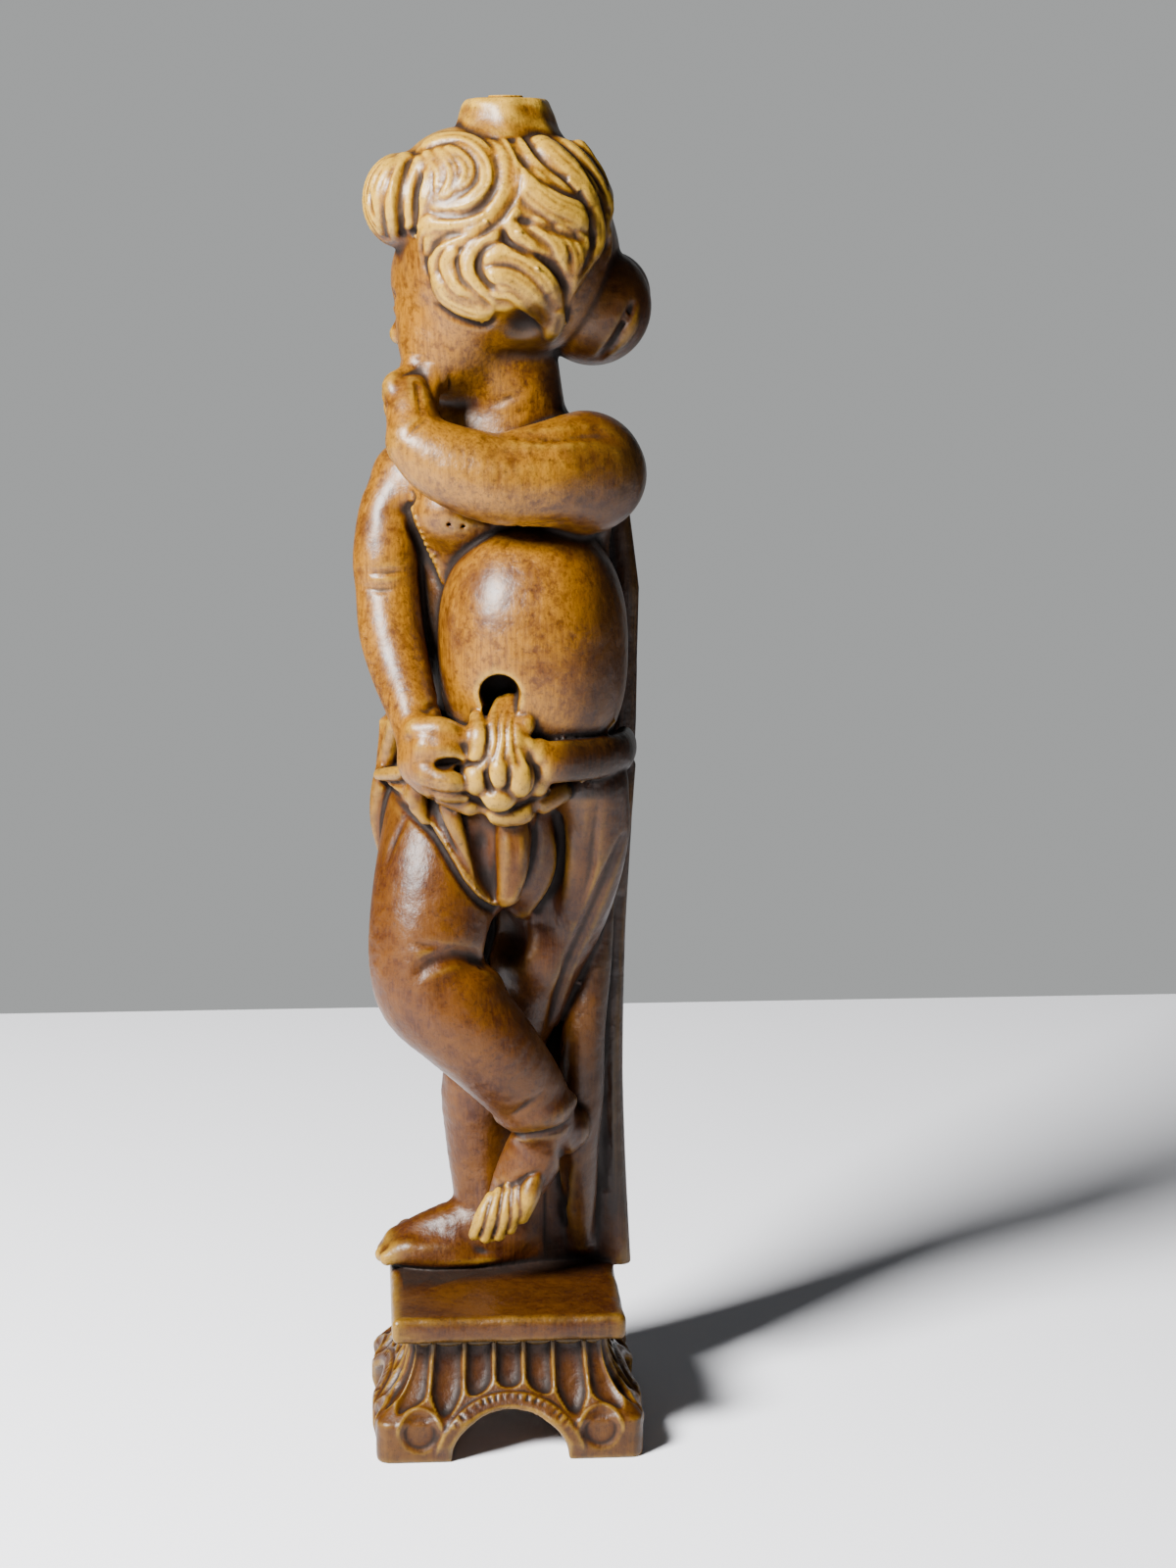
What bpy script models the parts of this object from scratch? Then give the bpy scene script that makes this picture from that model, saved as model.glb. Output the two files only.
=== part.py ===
"""Carved wooden statue of a plump child on a square slab, with a fluted foot below.

The figure leans its weight on the left leg, crosses the right leg in front of it, lifts the
left hand to the mouth and holds a knotted loincloth with the right hand. A cloak hangs
behind it down to the slab. A short round stub stands on the crown of the head.

Front is -Y, up is +Z. The origin lies under the middle of the foot, on the table.
Sizes are in millimetres and are turned into metres when a mesh is made.
"""

import math

import bpy
import numpy as np

MILLIMETRE = 0.001

# Fluted foot
FOOT_WIDTH = 82.0
FOOT_HEIGHT = 34.5
FOOT_NECK_WIDTH = 60.0
FOOT_PAD_HEIGHT = 12.0
FOOT_FLARE = 2.2
FOOT_CORNER_ROUND = 4.0
ARCH_WIDTH = 35.0
ARCH_HEIGHT = 15.0
ARCH_RIM_WIDTH = 5.0
ARCH_RIM_RAISE = 1.0
FLUTE_COUNT = 8
FLUTE_DEPTH = 2.6
FLUTE_BOTTOM = 13.0
MEDALLION_RADIUS = 6.4
MEDALLION_DEPTH = 1.6
MEDALLION_FROM_MIDDLE = 26.5
MEDALLION_FROM_TABLE = 8.5
MEDALLION_RIM = 1.4

# Slab carved with the figure
JOINT_GAP = 0.3
SLAB_WIDTH = 70.0
SLAB_THICKNESS = 8.2
SLAB_EDGE_ROUND = 1.8

# Figure, from the top of the slab to the top of the stub
FIGURE_HEIGHT = 357.0
STUB_TOP_DIAMETER = 26.0
STUB_BOTTOM_DIAMETER = 31.0
STUB_HEIGHT = 10.0
STUB_CENTRE = (2.0, 1.0)
STUB_DISC_DIAMETER = 12.0
STUB_DISC_RAISE = 0.8

# The figure is drawn on a scale where its feet stand at 43 and its stub ends at 400.
DRAWN_FEET = 43.0
DRAWN_TOP = 400.0

# Fineness of the carving and of the finished surfaces
GRAIN_STEP = 0.9
FIGURE_TRIANGLES = 8200
FINE_SHARE = 0.6
FOOT_TRIANGLES = 1800

SLAB_BOTTOM = FOOT_HEIGHT + JOINT_GAP
SLAB_TOP = SLAB_BOTTOM + SLAB_THICKNESS
FIGURE_SCALE = FIGURE_HEIGHT / (DRAWN_TOP - DRAWN_FEET)
FAR = 30.0
FRONT = -1
BACK = 1

# Left and right are the figure's own; it faces -Y, so its left is at +X.
BELLY_CENTRE = (9.2, -2, 242.5)
BELLY_RADII = (28.0, 32.5, 34.4)
LEFT_SHOULDER = [(24, 8, 290), (26, -4, 291), (24, -15, 292)]
LEFT_FOREARM = [(23.5, -16, 293), (12, -23, 292), (-1, -27, 291.3), (-11, -27, 294), (-19, -26, 297.5),
                (-25, -25, 302)]
LEFT_FOREARM_GIRTH = [17.4, 14.6, 12.6, 12.0, 10.8, 8.8]
RIGHT_ARM = [(-23, 9, 289), (-31.6, 5, 281), (-33.8, 2, 267), (-33.5, 1, 257), (-32.6, -3, 245), (-30, -9, 234),
             (-26.6, -18, 223.5), (-24.6, -23, 217)]
RIGHT_ARM_GIRTH = [12.5, 9.6, 9.9, 9.5, 9.6, 8.9, 7.7, 7.4]
STANDING_LEG = [(17, 8, 184), (14, 8, 160), (10.5, 8, 144), (3, 13, 122), (-5.5, 17, 103), (-6.8, 20, 84),
                (-6.4, 21, 66), (-5, 21, 54)]
STANDING_LEG_GIRTH = [18, 15.5, 13.5, 13, 12.6, 10.5, 8.6, 8.8]
CROSSED_LEG = [(-15, 1, 188), (-19, -7, 174), (-21.6, -12, 160), (-23, -15, 148), (-21.5, -17, 139),
               (-14, -19, 131.5), (-5, -17.5, 121.5), (3.2, -12.5, 110.5), (9.2, -8, 101), (12, -5.5, 94)]
CROSSED_LEG_GIRTH = [20, 19.0, 18.4, 17.4, 16.6, 15.8, 14.4, 12.8, 11.2, 9.4]

# Folds at the open edge of the cloak: points along each ridge and the radius at each point
CLOAK_FOLDS = [
    ([(37, 2, 203), (34, 0, 180), (27, 1, 156), (19, 4, 139), (14.6, 7, 124)], [3.4, 4, 4.2, 3.6, 2]),
    ([(32, 8, 160), (29, 7, 140), (25, 7, 120), (24.4, 7, 100), (22, 8, 84), (20, 10, 68), (20.5, 12, 52)],
     [2.5, 4.5, 6.6, 6.8, 6, 4.5, 3]),
    ([(36, 18, 230), (35, 17, 190), (33, 17, 150), (32.4, 17, 110), (33, 18, 80), (34.6, 19, 48)],
     [4, 5.4, 5.4, 5, 5, 5.6]),
]

# Lower edge of the loincloth across the front, closed along the waist
HEM = [(-44, 199), (-33, 197.6), (-28.6, 194.3), (-21.8, 189), (-17.3, 182), (-12.8, 174), (-8.2, 168.4),
       (-3.6, 164.8), (-1, 164.4), (1.6, 166), (4.7, 171.4), (8, 180), (10, 194), (14, 214), (-20, 221), (-44, 216)]

# Petals of the cloth knot, spread from its top
KNOT_LOBES = [
    ([(-3.5, -33, 224), (-6.5, -35.4, 220), (-9.4, -34.6, 214)], [1.8, 3.0, 3.8]),
    ([(-3, -34, 218), (-6.8, -36, 211.5), (-8.6, -34.8, 204.6)], [2, 3.4, 4.2]),
    ([(-0.8, -33, 226), (0.4, -35.6, 216), (0.4, -35.6, 203.6)], [2, 3.6, 4.9]),
    ([(1.8, -33, 222.5), (6, -35, 217.6), (8.4, -34, 211.6)], [1.8, 3.2, 4.0]),
    ([(4.4, -33.2, 214), (9, -34, 207.5), (11.2, -32.6, 202.6)], [2, 3.2, 3.8]),
    ([(-5, -33, 204), (-3.4, -33.4, 198.6)], [3.2, 3.6]),
    ([(4, -33, 205), (5.6, -33, 198.6)], [3.4, 3.6]),
]

# Creases seen from the front: (x, z) points, depth at each point, and half width
FRONT_CREASES = [
    ([(-25.5, 278), (-22, 269), (-18.5, 260)], [0, 2.2, 0.6], 1.4),
    ([(-40, 258.5), (-35, 256.5), (-28, 259.5)], [0.3, 1.4, 0], 1.2),
    ([(-28, 304), (-24.5, 305.5), (-21, 308)], [0, 1.2, 0.5], 1.0),
    ([(-29, 155), (-21, 154), (-12, 151.5)], [0, 1.8, 0.8], 1.5),
    ([(-0.4, 91.5), (9.4, 93.2), (20, 95)], [1.2, 2.2, 1.0], 1.2),
    ([(6, 108), (13, 103), (18, 100)], [0, 1.2, 0], 1.2),
    ([(-6.6, 198), (-6.4, 184), (-4.4, 170)], [2, 5, 2], 1.8),
    ([(9.6, 198), (9.4, 188), (7.6, 176)], [2, 4, 1.5], 1.8),
    ([(35, 164), (26, 141), (19, 127), (15, 112)], [1, 3.4, 3.4, 1], 1.6),
    ([(35, 152), (33.4, 135), (32.4, 100), (29, 83), (24, 66)], [1, 3.4, 3.4, 3, 1], 1.8),
    ([(-37, 206), (-32, 205), (-27, 203)], [1.4, 1.2, 0.4], 1.2),
    ([(-37, 200.5), (-32, 199.8), (-27, 197)], [1.4, 1.2, 0.4], 1.2),
]

# Head: the face looks towards the figure's right and a little away from the front.
HEAD_CENTRE = (2, 2, 357)
FACE_ORIGIN = (-3.4, 4, 340.5)
FACE_TURN = math.radians(16)
BUNCH_CENTRE = (27.8, 3, 339.2)
BUNCH_RADII = (16.2, 16, 16.6)
LOCK_EDGE_DEPTH = 5.0

# Locks of hair, drawn on one side of the head as (x, z) points with the lock's half width
HAIR_LOCKS = [
    ([(-29, 379), (-34, 375), (-36.6, 369.5), (-36.2, 364), (-34, 359)], 3.4),
    ([(-27.5, 379), (-31, 374.5), (-33, 369), (-33.2, 364), (-32, 359)], 3.2),
    ([(-23, 381), (-26, 376), (-28.7, 370.5), (-30, 365), (-31, 360)], 3.4),
    ([(-20, 379.5), (-22, 374), (-24.6, 368.4), (-25.6, 363.3)], 2.6),
    ([(-24, 386), (-16, 387), (-9, 385.5), (-5, 381), (-5.7, 375.4), (-10.3, 371), (-19, 368.4)], 3.0),
    ([(-23, 384), (-17, 383.8), (-12.2, 381.2), (-10.7, 378), (-13.4, 374.5), (-19, 371.3)], 2.3),
    ([(-22, 382), (-17.6, 380.5), (-15.5, 377.7), (-19, 374.2)], 2.1),
    ([(-10.6, 389), (-4, 386), (0, 381), (-0.6, 373.5), (-4.6, 367.5), (-11.7, 364.7), (-20, 364)], 2.7),
    ([(-17, 364), (-23, 361.5), (-24, 357), (-22.9, 353), (-20.6, 348.5)], 2.7),
    ([(-3, 388.5), (3, 384), (4, 378), (1.4, 370.3), (-4, 364), (-11.7, 360), (-18, 355.6), (-20, 349)], 2.6),
    ([(0.2, 366), (-5.3, 360.2), (-7.3, 354.4), (-4.7, 349.3), (-1.5, 343.5)], 2.9),
    ([(-9.2, 359), (-11, 354), (-8.8, 348.7), (-4, 343)], 2.6),
    ([(-14.3, 356), (-17.6, 350.5), (-16.2, 344), (-10.4, 340.2), (-3.3, 339)], 3.6),
    ([(2.2, 388), (6.6, 382), (11, 375), (18.3, 370), (24.3, 364), (26, 357), (23.6, 351)], 2.5),
    ([(5.3, 377), (8.4, 371.5), (14.2, 367), (21.5, 360.7)], 4.0),
    ([(7.5, 388), (13.5, 382), (21.3, 376), (28, 369), (30.8, 360.7), (28.5, 353.6)], 2.6),
    ([(13.9, 388), (21.4, 382.5), (27, 375.5), (31.3, 364.5)], 2.5),
    ([(17.9, 387.5), (25.5, 382), (30.5, 374.5), (33, 365.8)], 2.4),
    ([(4, 365), (1.7, 359.5), (5.6, 353.8), (12, 350), (15.9, 343.4), (14, 337)], 2.9),
    ([(-0.2, 354), (5.6, 349), (11.6, 342.2), (14.8, 337.5)], 2.5),
    ([(-4, 350), (1, 344.8), (9, 341), (13.5, 335.5)], 2.7),
    ([(11.5, 364.6), (16.8, 359), (18.8, 350.5), (17.3, 343.4)], 2.6),
    ([(16.8, 361), (21.2, 353.7), (21, 344.6), (18.3, 335.4)], 2.3),
    ([(-0.8, 342.6), (5, 341), (8.5, 335), (9.5, 329.5)], 2.3),
    ([(-3.3, 339), (0, 333), (6.9, 328.6)], 2.1),
    ([(10.7, 338), (13, 333.5), (12.6, 328.7)], 2.3),
]


def smooth_path(points, per_span=5):
    """Points along a smooth curve through the given points, any number of columns."""
    knots = np.array(points, dtype=float)
    if len(knots) < 3:
        share = np.linspace(0, 1, per_span + 1)[:, None]
        return knots[0] * (1 - share) + knots[-1] * share
    ends = np.vstack([2 * knots[0] - knots[1], knots, 2 * knots[-1] - knots[-2]])
    rows = []
    for i in range(1, len(ends) - 2):
        a, b, c, d = ends[i - 1], ends[i], ends[i + 1], ends[i + 2]
        for step in range(per_span):
            t = step / per_span
            rows.append(0.5 * (2 * b + (c - a) * t + (2 * a - 5 * b + 4 * c - d) * t * t
                               + (3 * b - a - 3 * c + d) * t ** 3))
    rows.append(knots[-1])
    return np.array(rows)


def soft_min(a, b, blend):
    """Smaller of two fields, rounded over where they meet."""
    if blend <= 0:
        return np.minimum(a, b)
    share = np.clip(1 - np.abs(a - b) / blend, 0, None)
    return np.minimum(a, b) - share * share * blend * 0.25


def soft_max(a, b, blend):
    """Larger of two fields, rounded over where they meet."""
    return -soft_min(-a, -b, blend)


def smooth_step(value, low, high):
    """0 below low, 1 above high, smooth between."""
    t = np.clip((value - low) / (high - low), 0, 1)
    return t * t * (3 - 2 * t)


class Block:
    """A block of samples that is negative inside the wood."""

    def __init__(self, low, high, step):
        self.low = np.array(low, dtype=float)
        self.step = step
        count = np.ceil((np.array(high) - self.low) / step).astype(int) + 1
        self.value = np.full(count, FAR, dtype=np.float32)

    def patch(self, low, high):
        """Slices and coordinate arrays of the samples inside a box."""
        first = np.clip(np.floor((np.array(low) - self.low) / self.step).astype(int), 0, None)
        last = np.ceil((np.array(high) - self.low) / self.step).astype(int) + 1
        last = np.maximum(np.minimum(last, self.value.shape), first)
        cells = tuple(slice(a, b) for a, b in zip(first, last))
        axes = [self.low[i] + self.step * np.arange(first[i], last[i]) for i in range(3)]
        x, y, z = np.meshgrid(*axes, indexing="ij", sparse=True)
        return cells, x.astype(np.float32), y.astype(np.float32), z.astype(np.float32)

    def combine(self, cells, distance, blend, cut):
        """Add a shape to the block, or take it away."""
        if cut:
            self.value[cells] = soft_max(self.value[cells], -distance, blend)
        else:
            self.value[cells] = soft_min(self.value[cells], distance, blend)

    def ball(self, centre, radii, blend=2.0, turn=0.0, lean=0.0, cut=False):
        """Add or cut an ellipsoid, turned about the vertical and leaned about its own side axis."""
        radii = np.array(radii, dtype=float) * np.ones(3)
        reach = radii.max() + blend + 2 * self.step
        cells, x, y, z = self.patch(np.array(centre) - reach, np.array(centre) + reach)
        x, y, z = x - centre[0], y - centre[1], z - centre[2]
        x, y = x * math.cos(turn) + y * math.sin(turn), y * math.cos(turn) - x * math.sin(turn)
        x, z = x * math.cos(lean) + z * math.sin(lean), z * math.cos(lean) - x * math.sin(lean)
        near = np.sqrt((x / radii[0]) ** 2 + (y / radii[1]) ** 2 + (z / radii[2]) ** 2)
        rate = np.sqrt((x / radii[0] ** 2) ** 2 + (y / radii[1] ** 2) ** 2 + (z / radii[2] ** 2) ** 2)
        self.combine(cells, near * (near - 1) / np.maximum(rate, 1e-6), blend, cut)

    def away(self, path, low, high, squash):
        """Distance from the axis of a curved rod, and the radius there, over a box."""
        cells, x, y, z = self.patch(low, high)
        scale = np.array(squash, dtype=float)
        x, y, z = x / scale[0], y / scale[1], z / scale[2]
        best = None
        for start, end in zip(path[:-1], path[1:]):
            a, b = start[:3] / scale, end[:3] / scale
            along = b - a
            t = ((x - a[0]) * along[0] + (y - a[1]) * along[1] + (z - a[2]) * along[2])
            t = np.clip(t / max(float(along @ along), 1e-9), 0, 1)
            gap = np.sqrt((x - a[0] - t * along[0]) ** 2 + (y - a[1] - t * along[1]) ** 2
                          + (z - a[2] - t * along[2]) ** 2)
            gap = gap - (start[3] + t * (end[3] - start[3]))
            best = gap if best is None else np.minimum(best, gap)
        return cells, best * scale.min()

    def rod(self, points, girth, blend=2.0, squash=(1, 1, 1), cut=False, per_span=4):
        """Add or cut a curved round rod whose radius follows the given values."""
        girth = np.array(girth, dtype=float) * np.ones(len(points))
        path = smooth_path(np.column_stack([np.array(points, dtype=float), girth]), per_span)
        reach = path[:, 3].max() * max(squash) + blend + 2 * self.step
        cells, gap = self.away(path, path[:, :3].min(0) - reach, path[:, :3].max(0) + reach, squash)
        self.combine(cells, gap, blend, cut)

    def groove(self, points, depth, width, per_span=5):
        """Carve a soft groove of some depth along a line; a negative depth raises a ridge."""
        depth = np.array(depth, dtype=float) * np.ones(len(points))
        path = smooth_path(np.column_stack([np.array(points, dtype=float), depth]), per_span)
        reach = 2.4 * width
        cells, x, y, z = self.patch(path[:, :3].min(0) - reach, path[:, :3].max(0) + reach)
        best = None
        strength = None
        for start, end in zip(path[:-1], path[1:]):
            along = end[:3] - start[:3]
            t = ((x - start[0]) * along[0] + (y - start[1]) * along[1] + (z - start[2]) * along[2])
            t = np.clip(t / max(float(along @ along), 1e-9), 0, 1)
            gap = ((x - start[0] - t * along[0]) ** 2 + (y - start[1] - t * along[1]) ** 2
                   + (z - start[2] - t * along[2]) ** 2)
            cut = start[3] + t * (end[3] - start[3])
            if best is None:
                best, strength = gap, cut
            else:
                strength = np.where(gap < best, cut, strength)
                best = np.minimum(best, gap)
        self.value[cells] += strength * np.exp(-best / (width * width))

    def skin(self, points, side, sink=0.0, edge_depth=0.0):
        """Lay (x, z) points on the surface seen from the front or from the back.

        Points beyond the outline get the depth edge_depth towards that side.
        """
        laid = []
        for x, z in points:
            i = int(round((x - self.low[0]) / self.step))
            k = int(round((z - self.low[2]) / self.step))
            column = self.value[i, :, k][::-side]
            inside = np.flatnonzero(column < 0)
            if len(inside) == 0:
                laid.append((x, side * edge_depth, z))
                continue
            j = inside[0]
            share = column[j] / (column[j] - column[j - 1])
            j = j - share
            row = j if side == FRONT else len(column) - 1 - j
            laid.append((x, self.low[1] + self.step * row - side * sink, z))
        return laid

    def swell(self, outline, y_low, y_high, raise_by, edge):
        """Raise the surface inside an outline drawn in (x, z), as cloth laid over it."""
        low = np.array(outline).min(0) - 2 * edge
        high = np.array(outline).max(0) + 2 * edge
        cells, x, y, z = self.patch((low[0], y_low, low[1]), (high[0], y_high, high[1]))
        gap = outline_distance(x, z, outline)
        ends = smooth_step(y, y_low, y_low + 2) * (1 - smooth_step(y, y_high - 8, y_high))
        self.value[cells] -= (raise_by * (1 - smooth_step(gap, -edge, 0)) * ends).astype(np.float32)


def outline_distance(x, z, outline):
    """Signed distance in the (x, z) plane to a closed outline, negative inside."""
    corners = np.array(outline, dtype=float)
    best = None
    inside = None
    for (ax, az), (bx, bz) in zip(corners, np.roll(corners, -1, axis=0)):
        dx, dz = bx - ax, bz - az
        t = np.clip(((x - ax) * dx + (z - az) * dz) / max(dx * dx + dz * dz, 1e-9), 0, 1)
        gap = (x - ax - t * dx) ** 2 + (z - az - t * dz) ** 2
        crosses = ((az > z) != (bz > z)) & (x < ax + (z - az) * dx / (dz if dz else 1e-9))
        best = gap if best is None else np.minimum(best, gap)
        inside = crosses if inside is None else inside ^ crosses
    return np.where(inside, -np.sqrt(best), np.sqrt(best))


def mixed_corner_codes():
    """Cells whose inside or outside corners fall apart in two groups."""
    def joined(corners):
        if not corners:
            return True
        seen = {corners[0]}
        queue = [corners[0]]
        while queue:
            here = queue.pop()
            for bit in (1, 2, 4):
                there = here ^ bit
                if there in corners and there not in seen:
                    seen.add(there)
                    queue.append(there)
        return len(seen) == len(corners)

    codes = np.zeros(256, dtype=bool)
    for code in range(256):
        inside = [c for c in range(8) if code >> c & 1]
        outside = [c for c in range(8) if not code >> c & 1]
        codes[code] = not (joined(inside) and joined(outside))
    return codes


def corner_views(grid):
    """The eight corner samples of every cell; bit 1 steps x, bit 2 steps y, bit 4 steps z."""
    span = [(slice(None, -1), slice(1, None))[0:2] for _ in range(3)]
    return [grid[span[0][c & 1], span[1][c >> 1 & 1], span[2][c >> 2 & 1]] for c in range(8)]


def close_doubtful_cells(value):
    """Fill cells where two parts of the surface would touch at a point or an edge."""
    doubtful = mixed_corner_codes()
    for _ in range(12):
        inside = value < 0
        code = np.zeros(tuple(n - 1 for n in value.shape), dtype=np.uint8)
        for bit, view in enumerate(corner_views(inside)):
            code |= view.astype(np.uint8) << bit
        cells = np.argwhere(doubtful[code])
        if len(cells) == 0:
            return
        for c in range(8):
            spot = cells + np.array([c & 1, c >> 1 & 1, c >> 2 & 1])
            spot = tuple(spot.T)
            value[spot] = np.minimum(value[spot], -0.02)


def surface_of(block):
    """Vertices and quads of the surface where the block's samples change sign."""
    value = block.value
    close_doubtful_cells(value)
    inside = value < 0
    total = sum(view.astype(np.int8) for view in corner_views(inside))
    mixed = (total > 0) & (total < 8)
    number = np.full(mixed.shape, -1, dtype=np.int64)
    number[mixed] = np.arange(mixed.sum())
    cells = np.argwhere(mixed)
    corner = np.array([[c & 1, c >> 1 & 1, c >> 2 & 1] for c in range(8)])
    sample = np.stack([value[tuple((cells + corner[c]).T)] for c in range(8)], axis=1)
    place = np.zeros((len(cells), 3))
    weight = np.zeros(len(cells))
    for a in range(8):
        for bit in (1, 2, 4):
            b = a | bit
            if b == a:
                continue
            crossed = (sample[:, a] < 0) != (sample[:, b] < 0)
            share = np.where(crossed, sample[:, a] / np.where(crossed, sample[:, a] - sample[:, b], 1), 0)
            spot = corner[a] + share[:, None] * (corner[b] - corner[a])
            place += np.where(crossed[:, None], spot, 0)
            weight += crossed
    place = block.low + block.step * (cells + place / weight[:, None])
    quads = []
    for axis in range(3):
        u, v = (axis + 1) % 3, (axis + 2) % 3
        lower = np.take(inside, range(inside.shape[axis] - 1), axis)
        upper = np.take(inside, range(1, inside.shape[axis]), axis)
        for sign, crossed in ((1, lower & ~upper), (-1, upper & ~lower)):
            edge = np.argwhere(crossed)
            ring = []
            for du, dv in ((-1, -1), (0, -1), (0, 0), (-1, 0)):
                spot = edge.copy()
                spot[:, u] += du
                spot[:, v] += dv
                ring.append(number[tuple(spot.T)])
            quad = np.stack(ring, axis=1)
            quads.append(quad if sign > 0 else quad[:, ::-1])
    return place, np.concatenate(quads)


def largest_piece(count, quads):
    """Mask of the quads that belong to the piece with the most vertices."""
    parent = np.arange(count)
    pairs = np.concatenate([quads[:, [0, 1]], quads[:, [1, 2]], quads[:, [2, 3]]])
    while True:
        before = parent.copy()
        low = np.minimum(parent[pairs[:, 0]], parent[pairs[:, 1]])
        np.minimum.at(parent, pairs[:, 0], low)
        np.minimum.at(parent, pairs[:, 1], low)
        parent = parent[parent]
        parent = parent[parent]
        if np.array_equal(before, parent):
            break
    names, sizes = np.unique(parent, return_counts=True)
    return parent[quads[:, 0]] == names[sizes.argmax()]


def make_material(name, colour, roughness):
    """A plain wood finish."""
    material = bpy.data.materials.new(name)
    material.use_nodes = True
    shader = material.node_tree.nodes["Principled BSDF"]
    shader.inputs["Base Color"].default_value = (*colour, 1.0)
    shader.inputs["Roughness"].default_value = roughness
    shader.inputs["Metallic"].default_value = 0.0
    material.diffuse_color = (*colour, 1.0)
    return material


def make_object(name, block, triangles, material, reshape=None, fine=None):
    """Turn a block into one closed object with about the given number of triangles.

    reshape moves the finished points; fine picks the points whose carving gets more triangles.
    """
    place, quads = surface_of(block)
    quads = quads[largest_piece(len(place), quads)]
    used = np.unique(quads)
    renumber = np.full(len(place), -1, dtype=np.int64)
    renumber[used] = np.arange(len(used))
    place, quads = place[used], renumber[quads]
    mesh = bpy.data.meshes.new(name)
    moved = reshape(place) if reshape else place
    mesh.from_pydata((moved * MILLIMETRE).tolist(), [], quads.tolist())
    mesh.update()
    thing = bpy.data.objects.new(name, mesh)
    bpy.context.scene.collection.objects.link(thing)
    mesh.materials.append(material)
    mesh.polygons.foreach_set("use_smooth", [True] * len(mesh.polygons))
    total = 2 * len(quads)
    if fine is None:
        thin_out(thing, triangles / total)
        return thing
    mask = fine(place)
    carved = 2 * int(mask[quads].all(axis=1).sum())
    plain_target = (1 - FINE_SHARE) * triangles
    thin_out(thing, (carved + plain_target) / total, "plain", ~mask)
    thin_out(thing, triangles / (carved + plain_target), "carved", mask)
    return thing


def thin_out(thing, ratio, group_name=None, mask=None):
    """Lower the number of triangles, over the whole surface or over the masked vertices only."""
    thinner = thing.modifiers.new("fewer triangles", "DECIMATE")
    thinner.ratio = ratio
    thinner.use_collapse_triangulate = True
    if group_name:
        group = thing.vertex_groups.new(name=group_name)
        group.add(np.flatnonzero(mask).tolist(), 1.0, "REPLACE")
        thinner.vertex_group = group_name


def face_point(forward, side, up):
    """A place on the head given by how far forward, aside and up from the face origin."""
    x = FACE_ORIGIN[0] - forward * math.cos(FACE_TURN) - side * math.sin(FACE_TURN)
    y = FACE_ORIGIN[1] + forward * math.sin(FACE_TURN) - side * math.cos(FACE_TURN)
    return (x, y, FACE_ORIGIN[2] + up)


def model_torso(block):
    """Chest, belly, hips and shoulders."""
    block.ball((2, 9, 281), (32, 21, 29), 0)
    block.ball((3, 12, 240), (33, 20, 48), 10)
    block.ball((2, 6, 198), (31, 24, 24), 8)
    block.ball((-24, 9, 289), (14, 13, 12.5), 8)
    block.rod([(4, 7, 290), (4, 4, 306), (2, 4, 322)], [21, 16, 15.4], 7)
    block.ball((-9, 5, 304), (15, 13, 11), 4)
    block.ball((-13, -6, 281), (13, 11, 11), 6)
    block.ball(BELLY_CENTRE, BELLY_RADII, 1.2)


def model_arms(block):
    """Left arm raised across the chest, right arm hanging to the knot."""
    block.rod(LEFT_SHOULDER, [14.5, 16.5, 17.5], 5)
    block.rod(LEFT_FOREARM, LEFT_FOREARM_GIRTH, 1.6)
    block.rod([(-25, -24, 303), (-26.2, -20, 310), (-26.5, -17, 315)], [8.0, 7.4, 5.6], 2)
    block.rod([(-28, -20, 312), (-31.2, -17, 317.4), (-28.5, -13, 319.6), (-24, -9, 320)], [4.2, 3.5, 3, 2.6], 0.7)
    block.rod([(-29, -14, 310), (-31.6, -10, 315.5), (-28, -6, 318)], [3.8, 3.1, 2.6], 0.7)
    block.rod([(-29, -9, 306), (-31.2, -4, 311.5), (-28.5, 0, 314)], [3.5, 3, 2.5], 0.7)
    block.rod([(-22.5, -20, 307), (-21.4, -17, 313.5), (-21.6, -13, 318)], [3.4, 3.2, 2.6], 0.7)
    block.rod(RIGHT_ARM, RIGHT_ARM_GIRTH, 1.8)
    block.ball((-22, -26, 210), (9.6, 9, 9.3), 2.5)
    for row in range(4):
        lift = 5.4 - 4.2 * row
        reach = [(-22, -33, 210.5 + lift), (-17, -35.5, 209 + lift), (-13.2, -34, 208 + lift)]
        block.rod(reach, [3.0, 2.8, 2.3], 0.4)
    block.rod([(-24, -30, 219), (-17, -33.5, 221), (-11.5, -34.5, 220)], [3.6, 3.2, 2.6], 0.6)


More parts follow.
